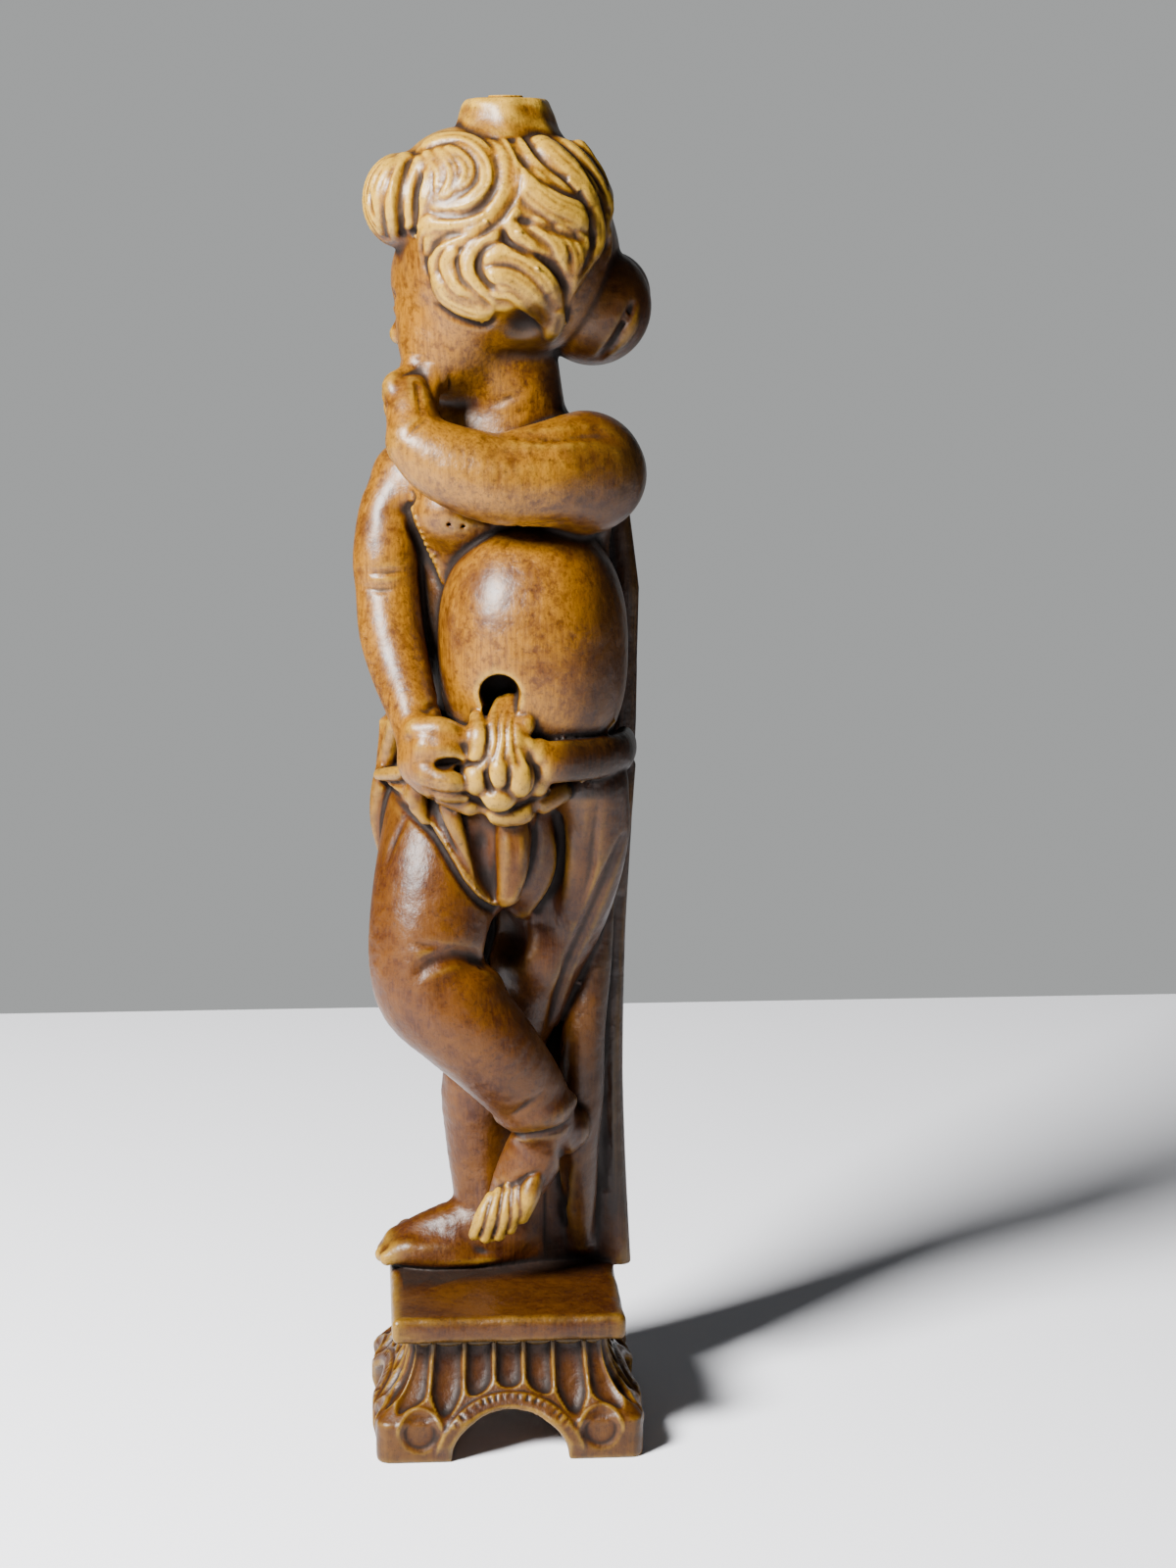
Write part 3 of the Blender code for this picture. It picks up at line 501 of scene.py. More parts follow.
    def swell(self, outline: Sequence[Spot], y_low: float, y_high: float, raise_by: float,
              edge: float) -> None:
        """Raise the surface inside an outline drawn in (x, z), as cloth laid over it.

        Args:
            outline: Corners of the outline.
            y_low: Front end of the part that is raised.
            y_high: Rear end of it, where the rise fades.
            raise_by: Height of the rise.
            edge: Width of its edge.
        """
        low = np.array(outline).min(0) - 2 * edge
        high = np.array(outline).max(0) + 2 * edge
        cells, x, y, z = self.patch((low[0], y_low, low[1]), (high[0], y_high, high[1]))
        gap = outline_distance(x, z, outline)
        ends = smooth_step(y, y_low, y_low + 2) * (1 - smooth_step(y, y_high - 8, y_high))
        self.value[cells] -= (raise_by * (1 - smooth_step(gap, -edge, 0)) * ends).astype(np.float32)


class SurfaceMaker:
    """Turns a block of samples into one closed mesh."""

    CORNERS = np.array([[c & 1, c >> 1 & 1, c >> 2 & 1] for c in range(8)])

    def __init__(self, block: WoodBlock) -> None:
        """Keep the block that the surface is taken from."""
        self.block = block

    @staticmethod
    def corner_views(grid: np.ndarray) -> list[np.ndarray]:
        """Give the eight corner samples of every cell; bit 1 steps x, 2 steps y, 4 steps z.

        Args:
            grid: The samples.

        Returns:
            Eight views of the samples.
        """
        near, far = slice(None, -1), slice(1, None)
        return [grid[far if c & 1 else near, far if c & 2 else near, far if c & 4 else near]
                for c in range(8)]

    @staticmethod
    def doubtful_codes() -> np.ndarray:
        """Mark the corner patterns whose inside or outside falls apart in two groups.

        Returns:
            A mark for each of the 256 patterns.
        """

        def joined(corners: list[int]) -> bool:
            """Tell whether the corners form one group along the cell's edges.

            Args:
                corners: Numbers of the corners.

            Returns:
                True if they do.
            """
            queue = corners[:1]
            seen = set(queue)
            while queue:
                here = queue.pop()
                for there in (here ^ 1, here ^ 2, here ^ 4):
                    if there in corners and there not in seen:
                        seen.add(there)
                        queue.append(there)
            return len(seen) == len(corners)

        codes = np.zeros(256, dtype=bool)
        for code in range(256):
            inside = [c for c in range(8) if code >> c & 1]
            outside = [c for c in range(8) if not code >> c & 1]
            codes[code] = not (joined(inside) and joined(outside))
        return codes

    def close_doubtful_cells(self) -> None:
        """Fill cells where two parts of the surface would touch at a point or an edge."""
        value = self.block.value
        doubtful = self.doubtful_codes()
        for _ in range(12):
            code = np.zeros(tuple(n - 1 for n in value.shape), dtype=np.uint8)
            for bit, view in enumerate(self.corner_views(value < 0)):
                code |= view.astype(np.uint8) << bit
            cells = np.argwhere(doubtful[code])
            if len(cells) == 0:
                return
            for corner in self.CORNERS:
                spot = tuple((cells + corner).T)
                value[spot] = np.minimum(value[spot], -0.02)

    def surface(self) -> tuple[np.ndarray, np.ndarray]:
        """Find the surface where the samples change sign.

        Returns:
            Its points, and its four-sided faces as rows of point numbers.
        """
        self.close_doubtful_cells()
        value = self.block.value
        inside = value < 0
        total = sum(view.astype(np.int8) for view in self.corner_views(inside))
        mixed = (total > 0) & (total < 8)
        number = np.full(mixed.shape, -1, dtype=np.int64)
        number[mixed] = np.arange(mixed.sum())
        cells = np.argwhere(mixed)
        sample = np.stack([value[tuple((cells + corner).T)] for corner in self.CORNERS], axis=1)
        place = np.zeros((len(cells), 3))
        weight = np.zeros(len(cells))
        for a in range(8):
            for b in (a | 1, a | 2, a | 4):
                if b == a:
                    continue
                crossed = (sample[:, a] < 0) != (sample[:, b] < 0)
                drop = np.where(crossed, sample[:, a] - sample[:, b], 1)
                share = np.where(crossed, sample[:, a] / drop, 0)
                spot = self.CORNERS[a] + share[:, None] * (self.CORNERS[b] - self.CORNERS[a])
                place += np.where(crossed[:, None], spot, 0)
                weight += crossed
        place = self.block.low + self.block.step * (cells + place / weight[:, None])
        quads = []
        for axis in range(3):
            u, v = (axis + 1) % 3, (axis + 2) % 3
            lower = np.take(inside, range(inside.shape[axis] - 1), axis)
            upper = np.take(inside, range(1, inside.shape[axis]), axis)
            for outward, crossed in ((True, lower & ~upper), (False, upper & ~lower)):
                edge = np.argwhere(crossed)
                ring = []
                for du, dv in ((-1, -1), (0, -1), (0, 0), (-1, 0)):
                    spot = edge.copy()
                    spot[:, u] += du
                    spot[:, v] += dv
                    ring.append(number[tuple(spot.T)])
                quad = np.stack(ring, axis=1)
                quads.append(quad if outward else quad[:, ::-1])
        return self.largest_piece(place, np.concatenate(quads))

    @staticmethod
    def largest_piece(place: np.ndarray, quads: np.ndarray) -> tuple[np.ndarray, np.ndarray]:
        """Keep only the piece of the surface with the most points.

        Args:
            place: Points of the surface.
            quads: Faces of the surface.

        Returns:
            The points and faces that are kept.
        """
        parent = np.arange(len(place))
        pairs = np.concatenate([quads[:, [0, 1]], quads[:, [1, 2]], quads[:, [2, 3]]])
        while True:
            before = parent.copy()
            low = np.minimum(parent[pairs[:, 0]], parent[pairs[:, 1]])
            np.minimum.at(parent, pairs[:, 0], low)
            np.minimum.at(parent, pairs[:, 1], low)
            parent = parent[parent]
            parent = parent[parent]
            if np.array_equal(before, parent):
                break
        names, sizes = np.unique(parent, return_counts=True)
        quads = quads[parent[quads[:, 0]] == names[sizes.argmax()]]
        used = np.unique(quads)
        renumber = np.full(len(place), -1, dtype=np.int64)
        renumber[used] = np.arange(len(used))
        return place[used], renumber[quads]


def select_only(thing: bpy.types.Object) -> None:
    """Make a piece the only selected one, and the active one.

    Args:
        thing: The piece.
    """
    bpy.ops.object.select_all(action="DESELECT")
    thing.select_set(True)
    bpy.context.view_layer.objects.active = thing


def apply_modifier(thing: bpy.types.Object, kind: str, **settings: Any) -> None:
    """Add a modifier to a piece and apply it.

    Args:
        thing: The piece.
        kind: The modifier's type.
        settings: Its settings.
    """
    select_only(thing)
    modifier = thing.modifiers.new(kind.lower(), kind)
    for name, value in settings.items():
        setattr(modifier, name, value)
    bpy.ops.object.modifier_apply(modifier=modifier.name)


def stretch_all(scale: Point, shift: Point = (0, 0, 0)) -> None:
    """Resize the whole active piece about the origin, then move it, in edit mode.

    Args:
        scale: Scale along X, Y and Z.
        shift: Distance along X, Y and Z.
    """
    bpy.ops.object.mode_set(mode="EDIT")
    bpy.ops.mesh.select_all(action="SELECT")
    bpy.ops.transform.resize(value=scale, center_override=(0, 0, 0))
    bpy.ops.transform.translate(value=shift)
    bpy.ops.object.mode_set(mode="OBJECT")


def points_of(thing: bpy.types.Object) -> np.ndarray:
    """Read a piece's points, in millimetres.

    Args:
        thing: The piece.

    Returns:
        A row of X, Y and Z for every point.
    """
    flat = np.empty(3 * len(thing.data.vertices))
    thing.data.vertices.foreach_get("co", flat)
    return flat.reshape(-1, 3) / MILLIMETRE


def place_points(thing: bpy.types.Object, place: np.ndarray) -> None:
    """Write a piece's points, given in millimetres."""
    thing.data.vertices.foreach_set("co", (place * MILLIMETRE).ravel())
    thing.data.update()


def store_relief(thing: bpy.types.Object, measure: Relief, values: np.ndarray) -> None:
    """Keep one measure at every point of a piece, for its finish to read."""
    attribute = thing.data.attributes.new(measure.value, "FLOAT", "POINT")
    attribute.data.foreach_set("value", np.clip(values, 0, 1).astype(np.float32))


def vertex_group(thing: bpy.types.Object, name: str, weights: np.ndarray) -> str:
    """Give a piece a named group of weighted points.

    Args:
        thing: The piece.
        name: The group's name.
        weights: A weight from 0 to 1 for every point.

    Returns:
        The group's name.
    """
    group = thing.vertex_groups.new(name=name)
    levels = np.round(np.clip(weights, 0, 1) * 100).astype(int)
    for level in np.unique(levels):
        if level > 0:
            group.add(np.flatnonzero(levels == level).tolist(), level / 100, "REPLACE")
    return name


def blurred(grid: np.ndarray, reach: int) -> np.ndarray:
    """Average a grid over a box, twice along each axis.

    Args:
        grid: The samples.
        reach: Samples on each side that are taken in.

    Returns:
        The averaged samples.
    """
    width = 2 * reach + 1
    for axis in range(3):
        for _ in range(2):
            pad = [(0, 0)] * 3
            pad[axis] = (reach + 1, reach)
            total = np.cumsum(np.pad(grid, pad, mode="edge"), axis=axis, dtype=np.float32)
            count = total.shape[axis]
            grid = (np.take(total, range(width, count), axis)
                    - np.take(total, range(count - width), axis)) / width
    return grid


class Signal:
    """A value inside a material, on which sums are written as on a number."""

    def __init__(self, bench: "FinishBench", socket: Any) -> None:
        """Wrap the output socket of a node."""
        self.bench = bench
        self.socket = socket

    def _math(self, operation: str, a: Any, b: Any = 0.0) -> "Signal":
        """Add a node that works out one sum."""
        made = self.bench.node("ShaderNodeMath", {"operation": operation}, {0: a, 1: b})
        return Signal(self.bench, made.outputs[0])

    def __add__(self, other: Any) -> "Signal":
        """Add."""
        return self._math("ADD", self, other)

    __radd__ = __add__

    def __sub__(self, other: Any) -> "Signal":
        """Subtract."""
        return self._math("SUBTRACT", self, other)

    def __rsub__(self, other: Any) -> "Signal":
        """Subtract this from a number."""
        return self._math("SUBTRACT", other, self)

    def __mul__(self, other: Any) -> "Signal":
        """Multiply."""
        return self._math("MULTIPLY", self, other)

    __rmul__ = __mul__

    def rise(self, low: float, high: float) -> "Signal":
        """Give 0 below low, 1 above high, and a smooth rise between; low may be the larger.

        Args:
            low: Value that gives 0.
            high: Value that gives 1.

        Returns:
            The new signal.
        """
        settings = {"interpolation_type": "SMOOTHSTEP"}
        made = self.bench.node("ShaderNodeMapRange", settings, {0: self, 1: low, 2: high})
        return Signal(self.bench, made.outputs[0])


class FinishBench:
    """The nodes of one material, or of the world."""

    def __init__(self, owner: Any) -> None:
        """Start on the nodes of a new material or world.

        Args:
            owner: The material or the world.
        """
        owner.use_nodes = True
        self.owner = owner
        self.tree = owner.node_tree

    def socket(self, name: str, shader: str = "Principled BSDF") -> Any:
        """Give an input of the shader that the nodes end in."""
        return self.tree.nodes[shader].inputs[name]

    def node(self, kind: str, settings: Optional[dict] = None,
             inputs: Optional[dict] = None) -> Any:
        """Add a node.

        Args:
            kind: The node's type.
            settings: Its settings, which are made before its inputs.
            inputs: Numbers, colours or signals for its sockets, by name or place.

        Returns:
            The node.
        """
        made = self.tree.nodes.new(kind)
        for name, value in (settings or {}).items():
            setattr(made, name, value)
        for name, value in (inputs or {}).items():
            self.feed(made.inputs[name], value)
        return made

    def feed(self, socket: Any, value: Any) -> None:
        """Link a signal to a socket, or set the socket's own number.

        Args:
            socket: The socket.
            value: A signal, a number or a colour.
        """
        if isinstance(value, Signal):
            self.tree.links.new(value.socket, socket)
        else:
            socket.default_value = value

    def place(self, stretch: Point = (1, 1, 1)) -> Signal:
        """Give the piece's own coordinates, in metres, stretched along each axis.

        Args:
            stretch: Stretch along X, Y and Z.

        Returns:
            The coordinates.
        """
        coordinates = self.node("ShaderNodeTexCoord")
        scale = self.node("ShaderNodeVectorMath", {"operation": "MULTIPLY"},
                          {0: Signal(self, coordinates.outputs["Object"]), 1: stretch})
        return Signal(self, scale.outputs[0])

    def noise(self, size: float, detail: float = 3.0, roughness: float = 0.55,
              stretch: Point = (1, 1, 1)) -> Signal:
        """Give a cloudy pattern.

        Args:
            size: Width of its patches, in millimetres.
            detail: How many finer layers it has.
            roughness: Strength of the finer layers.
            stretch: Stretch of the coordinates.

        Returns:
            The pattern, from 0 to 1.
        """
        inputs = {"Vector": self.place(stretch), "Scale": 1 / (size * MILLIMETRE),
                  "Detail": detail, "Roughness": roughness}
        return Signal(self, self.node("ShaderNodeTexNoise", None, inputs).outputs[0])

    def measure(self, relief: Relief) -> Signal:
        """Read one of the measures that are kept at the piece's points."""
        settings = {"attribute_type": "GEOMETRY", "attribute_name": relief.value}
        return Signal(self, self.node("ShaderNodeAttribute", settings).outputs["Fac"])

    def mix(self, a: Any, b: Any, factor: Any) -> Signal:
        """Mix two colours.

        Args:
            a: The first colour.
            b: The second colour.
            factor: Share of the second colour.

        Returns:
            The mixed colour.
        """
        made = self.node("ShaderNodeMix", {"data_type": "RGBA"}, {0: factor, 6: a, 7: b})
        return Signal(self, made.outputs[2])


Colour = tuple[float, float, float, float]


@dataclass(frozen=True)
class AgedWood:
    """Stained and waxed wood with rubbed edges, and dark recesses that are partly dirt and partly
    painted shade.
    """

    name: str
    light: Colour = (0.172, 0.068, 0.0012, 1)
    middle: Colour = (0.068, 0.0212, 0.0006, 1)
    # Red-brown: the wood's redder tone, and painted shade in hollows and on the shaded side.
    red: Colour = (0.027, 0.0055, 0.0004, 1)
    straw: Colour = (0.35, 0.200, 0.018, 1)
    # Near black: pores, dirt in grooves, and painted shade.
    deep: Colour = (0.0026, 0.0009, 0.0004, 1)
    rubbed: float = 0.55
    roughness: float = 0.34
    wax: float = 0.27
    wax_roughness: float = 0.34
    gloss_level: float = 0.22
    grain_depth: float = 0.34

    def make(self) -> bpy.types.Material:
        """Build the material.

        Returns:
            The material.
        """
        bench = FinishBench(bpy.data.materials.new(self.name))
        fine, middle, wide, pale, low, dark = (bench.measure(relief) for relief in Relief)
        clouds = bench.noise(22, 3, 0.6)
        mottle = bench.noise(3.0, 4, 0.7)
        speck = bench.noise(1.0, 2, 0.65)
        streak = bench.noise(0.9, 3, 0.6, (1, 1, 0.05))

        tone = bench.mix(self.middle, self.light, (clouds * 0.6 + mottle * 0.4).rise(0.36, 0.58))
        redder = bench.mix(self.red, self.middle, (clouds + 0.35 * mottle).rise(0.50, 0.86))
        fair = pale * (0.08 + 0.92 * fine.rise(0.46, 0.64)) * (0.25 + 1.2 * mottle)
        ridge = fine.rise(0.55, 0.76) * (0.05 + 1.3 * mottle) * (1 - 0.45 * low)
        layers = (
            # Redder where the red measure says so: partly the wood's tone, partly painted shade.
            (redder, low),
            (self.red, mottle.rise(0.50, 0.32) * 0.55),
            (self.middle, streak.rise(0.54, 0.40) * 0.5),
            (self.straw, fair),
            (self.straw, ridge * self.rubbed),
            # Painted shade in the hollows of the middle and wide measures; in the fine grooves the
            # dark is partly dirt and partly painted shade.
            (self.red, middle.rise(0.49, 0.36) * 0.6),
            (self.deep, fine.rise(0.48, 0.32) * (0.5 + 0.6 * mottle)),
            (self.deep, middle.rise(0.40, 0.20) * 0.6),
            (self.deep, wide.rise(0.34, 0.12) * 0.45),
            (self.deep, speck.rise(0.43, 0.30) * 0.38),
            # The dark measure: mostly painted shade, and a darker slab top.
            (self.deep, dark * (0.45 + 0.7 * streak)),
        )
        for colour, share in layers:
            tone = bench.mix(tone, colour, share)
        bench.feed(bench.socket("Base Color"), tone)

        gloss = self.roughness + 0.18 * mottle + 0.35 * fine.rise(0.47, 0.28) - 0.08 * clouds
        bench.feed(bench.socket("Roughness"), gloss)
        polish = middle.rise(0.38, 0.52) * (1 - 0.7 * low) * self.wax
        bench.feed(bench.socket("Coat Weight"), polish)
        bench.feed(bench.socket("Specular IOR Level"), self.gloss_level)
        bench.feed(bench.socket("Coat Roughness"), self.wax_roughness)

        tooling = bench.noise(14, 2, 0.5) * 2.4 + bench.noise(6, 2, 0.5) * 1.3
        height = tooling + mottle * 0.34 + streak * 0.20 + bench.noise(0.8, 3, 0.6) * 0.26
        inputs = {"Strength": 1.0, "Distance": self.grain_depth * MILLIMETRE, "Height": height}
        bump = bench.node("ShaderNodeBump", None, inputs)
        bench.feed(bench.socket("Normal"), Signal(bench, bump.outputs[0]))
        return bench.owner


@dataclass(frozen=True)
class PlainFinish:
    """One even, matt colour, for the floor under the statue."""

    name: str
    colour: Colour
    roughness: float

    def make(self) -> bpy.types.Material:
        """Build the material.

        Returns:
            The material.
        """
        bench = FinishBench(bpy.data.materials.new(self.name))
        bench.feed(bench.socket("Base Color"), self.colour)
        bench.feed(bench.socket("Roughness"), self.roughness)
        return bench.owner


class Creased:
    """A sub-assembly whose creases are carved once its neighbours stand."""

    creases: tuple[Crease, ...]

    def finish(self, block: WoodBlock) -> None:
        """Carve the creases."""
        block.crease(*self.creases)


@dataclass
class Torso(Creased):
    """Chest, belly, hips and shoulders."""

    belly: Ball = Ball((9.2, -2, 240), (28.2, 32.4, 38.0), 1.2, 0, 2.4)
    forms: tuple[Ball, ...] = (
        Ball((2, 9, 281), (32, 21, 29), 0),
        Ball((3, 12, 240), (33, 20, 48), 10),
        Ball((2, 6, 198), (31, 24, 24), 8),
        Ball((-24, 9, 289), (14, 13, 12.5), 8),
    )
    neck: Rod = Rod(((4, 7, 290), (4, 4, 306), (2, 4, 322)), (21, 16, 15.4), 7)
    collar: Ball = Ball((-9, 5, 304), (15, 13, 11), 4)
    breast: Ball = Ball((-13, -6, 281), (13, 11, 11), 6)
    bead_line: tuple[Spot, ...] = ((-26.0, 281.4), (-23.6, 275), (-21.3, 269), (-18.9, 264),
                                   (-17.2, 259.6))
    bead_size: float = 0.95
    pin_holes: tuple[Spot, ...] = ((-15.6, 277.6), (-11.6, 277.0))
    pin_radius: float = 0.62
    creases: tuple[Crease, ...] = (
        Crease(((-27.6, 282), (-25.6, 275), (-23.2, 269), (-20.6, 263.7), (-18.6, 258.6)),
               (1.4, 3.4, 3, 2.4, 0.8), 1.3),
        Crease(((-26.4, 287.4), (-25.6, 284.4), (-27.1, 281)), (0, 1.6, 1), 0.9),
        Crease(((-36, 279.2), (-31, 280.6), (-26.5, 280.4)), (0, 0.8, 0.4), 1.6),
        Crease(((-3.5, 311.4), (1.5, 313.6), (7.5, 315.4)), (0, 0.9, 0), 1.1),
        Crease(((-14, 281.6), (-7.4, 278.9), (-0.7, 278.2), (8.4, 278.6), (17, 279.2)),
               (0.4, 1.6, 1.2, 1.2, 0.8), 1),
        Crease(((29.5, 262), (31.8, 250), (32.6, 238)), (0, 0.35, 0), 0.7),
    )

    def carve(self, block: WoodBlock) -> None:
        """Carve the forms."""
        block.add(*self.forms, self.neck, self.collar, self.breast, self.belly)

    def finish(self, block: WoodBlock) -> None:
        """Carve the creases, the beaded line and the two pin holes.

        Args:
            block: The block.
        """
        super().finish(block)
        line = smooth_path(self.bead_line, 3)
        for x, y, z in block.skin([tuple(p) for p in line], Side.FRONT, 0.2):
            block.ball(Ball((x, y, z), self.bead_size, 0.4))
        for x, y, z in block.skin(self.pin_holes, Side.FRONT):
            block.rod(Rod(((x, y - 2, z), (x, y + 2, z)), self.pin_radius, 0.2), cut=True)


@dataclass
class Arms(Creased):
    """Left arm raised across the chest with its hand at the mouth, right arm down to the knot."""

    forms: tuple[Rod, ...] = (
        Rod(((24, 8, 290), (26, -4, 291), (24, -15, 292)), (14.5, 16.5, 17.5), 5),
        Rod(((23.5, -16, 293), (12, -23, 292.4), (-1, -27, 291.6), (-11, -27, 294),
             (-19, -26, 297.5), (-25, -25, 302)), (17.2, 15, 13.2, 12.2, 10.8, 8.8), 1.6),
        Rod(((-25, -24, 303), (-26.2, -20, 310), (-26.5, -17, 315)), (8, 7.4, 5.6), 2),
        Rod(((-28, -20, 312), (-31.2, -17, 317.4), (-28.5, -13, 319.6), (-24, -9, 320)),
            (4.2, 3.5, 3, 2.6), 0.7),
        Rod(((-29, -14, 310), (-31.6, -10, 315.5), (-28, -6, 318)), (3.8, 3.1, 2.6), 0.7),
        Rod(((-29, -9, 306), (-31.2, -4, 311.5), (-28.5, 0, 314)), (3.5, 3, 2.5), 0.7),
        Rod(((-22.5, -20, 307), (-21.4, -17, 313.5), (-21.6, -13, 318)), (3.4, 3.2, 2.6), 0.7),
        Rod(((-23, 9, 289), (-31.6, 5, 281), (-33.8, 2, 267), (-33.5, 1, 257), (-32.6, -3, 245),
             (-30, -9, 234), (-26.6, -18, 223.5), (-24.6, -23, 217)),
            (12.5, 9.6, 9.9, 9.5, 9.6, 8.9, 7.7, 7.4), 1.8),
        Rod(((-25, -29, 219), (-19, -31.4, 219.4), (-13.5, -31.6, 217.6)), (4.4, 4.2, 3.4), 2.2),
        Rod(((-23, -32, 215), (-17.6, -33.4, 214.4), (-13.6, -33, 212.4)), (4.2, 3.6, 2.6), 1.6),
        Rod(((-22.4, -32.6, 207), (-17, -35.2, 205.4), (-12.6, -34.2, 204.6)), (4, 3.4, 2.4), 0.5),
        Rod(((-22.6, -30, 203.6), (-17, -32.6, 201.6), (-12.6, -32, 200.6)), (3.4, 3, 2.2), 0.5),
    )
    fist: Ball = Ball((-22, -26, 210), (9.6, 9, 9.3), 2.5)
    thumb_hollow: Ball = Ball((-16.6, -37, 210.4), (4.6, 4.6, 2.1), 0.4)
    creases: tuple[Crease, ...] = (
        Crease(((-8, 300.5), (3, 298.6), (14, 299.8), (23, 297.6)), (0, 0.7, 0.6, 0), 2.6),
        Crease(((-38.5, 262.6), (-32.6, 262.9), (-27.3, 263)), (0.4, 1.2, 0.2), 0.8),
        Crease(((-38, 260.8), (-33.2, 260.9), (-29, 261.4)), (-0.2, -0.5, 0), 0.7),
        Crease(((-40, 258.2), (-35, 257.6), (-29, 259)), (0.4, 1.2, 0), 1),
        Crease(((-27.6, 304.4), (-25.2, 307.1), (-22.4, 309)), (0.4, 1.5, 0.8), 0.9),
        Crease(((-27, 226), (-22.5, 224.6), (-17, 226)), (0.2, 1, 0), 1.2),
        Crease(((-24.6, 318.6), (-24.2, 314), (-23.8, 308.6)), (1.4, 1.2, 0), 0.8),
        Crease(((-2, 304.6), (12.7, 303.6), (26, 304.6), (34, 301)), (0.4, 1.6, 1.5, 0.2), 2.2),
    )

    def carve(self, block: WoodBlock) -> None:
        """Carve the arms and hands."""
        block.add(*self.forms, self.fist)
        block.ball(self.thumb_hollow, cut=True)


@dataclass
class Legs(Creased):
    """Standing left leg, right leg crossed in front of it, and both feet."""

    standing: Rod = Rod(((17, 8, 184), (14, 8, 160), (10.5, 8, 144), (3, 13, 122), (-5.5, 17, 103),
                         (-6.8, 20, 84), (-6.4, 21, 66), (-5, 21, 54)),
                        (18, 15.5, 13.5, 13, 12.6, 10.5, 8.6, 8.8), 3)
    standing_knee: Ball = Ball((10, 0, 146), (10.5, 9, 12), 4)
    sole: Ball = Ball((-14, 19, 46), (21, 11, 4.5), 1)
    forefoot: Ball = Ball((-21, 20, 48.4), (15.5, 12, 5.8), 2.5, 0, 2.6)
    instep: Rod = Rod(((2, 20, 51), (-10, 20, 54), (-22, 20, 52), (-31, 20, 49)),
                      (8.4, 9, 7.2, 5.4), 3)
    crossed: Rod = Rod(((-15, 1, 188), (-19, -7, 174), (-21.6, -12, 160), (-23, -15, 148),
                        (-21.5, -17, 139), (-14, -19, 131.5), (-5, -17.5, 121.5),
                        (3.2, -12.5, 110.5), (9.2, -8, 101), (12, -5.5, 94)),
                       (20, 19, 18.4, 17.4, 16.6, 15.8, 14.4, 12.8, 11.2, 9.4), 2)
    calf: Ball = Ball((-14, -19, 139), (13.5, 13.5, 11.5), 2.5)
    crossed_foot: Rod = Rod(((19.4, -1, 91.5), (12, -2, 88), (6, -1, 77), (1.5, 1, 68)),
                            (7.2, 9.2, 8.6, 6.6), 2.4)
    ankle_roll: Rod = Rod(((-1, -9, 97.6), (6, -16, 99.5), (14, -15, 101), (20, -8, 102)),
                          (2, 4.4, 4.4, 2), 2.4)
    hollow: Ball = Ball((-1.6, -7, 152), (8, 12, 7.6), 5)
    small_toe_y: float = 12.8
    toe_pitch: float = 4.3
    big_toe_girth: float = 3.5
    toe_thinner: float = 0.2
    toe_shorter: float = 1.3
    toe_root_x: float = -29.0
    toe_tip_x: float = -38.2
    toes: tuple[Rod, ...] = (
        Rod(((-4.2, -7.4, 71.8), (-7.4, -9.6, 66), (-9.4, -8.8, 60.6)), (1.8, 2.2, 2), 0.25),
        Rod(((-1.8, -7.6, 73.2), (-3.9, -10.6, 66.4), (-5.9, -9.4, 59.8)), (1.8, 2.1, 2), 0.25),
        Rod(((1.2, -7.8, 74.8), (-0.1, -10.9, 67.4), (-2, -9.8, 60.6)), (1.8, 2.1, 2), 0.25),
        Rod(((4, -7.8, 76.8), (3.3, -10.8, 69.6), (1.4, -9.8, 62.6)), (1.8, 2.1, 2), 0.25),
        Rod(((9.2, -7.6, 79.8), (7.4, -10.4, 73.6), (4.8, -9.6, 66.4)), (3, 3.3, 2.6), 0.25),
    )
    creases: tuple[Crease, ...] = (
        Crease(((-29, 157), (-22.1, 155.9), (-15.6, 154.4)), (0.2, 1.3, 0.5), 1.1),
        Crease(((-27, 147.4), (-22.6, 151), (-15.4, 152.6), (-9.4, 150.8), (-4.4, 147)),
               (0.4, 3.4, 4.2, 3.4, 1), 2),
        Crease(((-0.6, 91.5), (4.7, 92.8), (10.2, 94.4), (16, 95), (20.3, 97.1)),
               (1.2, 2.6, 2.8, 2.2, 0.6), 1.2),
        Crease(((0.6, 101), (6, 105.2), (11, 108.8)), (0.2, 1.7, 0.4), 1),
        Crease(((-3.5, 73.6), (2.8, 76.6), (10.6, 81.4)), (0.3, 0.9, 0.3), 0.9),
        Crease(((-11.5, 61), (-9.8, 64.4), (-7.6, 69)), (0.8, 1, 0.2), 1),
    )

    def carve(self, block: WoodBlock) -> None:
        """Carve the legs and feet.

        Args:
            block: The block.
        """
        block.add(self.standing, self.standing_knee, self.sole, self.forefoot, self.instep)
        for toe in range(5):
            y = self.small_toe_y + self.toe_pitch * toe
            girth = self.big_toe_girth - self.toe_thinner * abs(toe - 4)
            tip = self.toe_tip_x + self.toe_shorter * abs(toe - 1.2)
            line = ((self.toe_root_x, y, 49.2), (tip + 3, y, 47.4), (tip + 0.8, y, 46.4))
            block.rod(Rod(line, (girth + 0.8, girth, girth - 0.4), 1.8))
        block.add(self.crossed, self.calf)
        block.ball(self.hollow, cut=True)
        block.add(self.ankle_roll, self.crossed_foot, *self.toes)


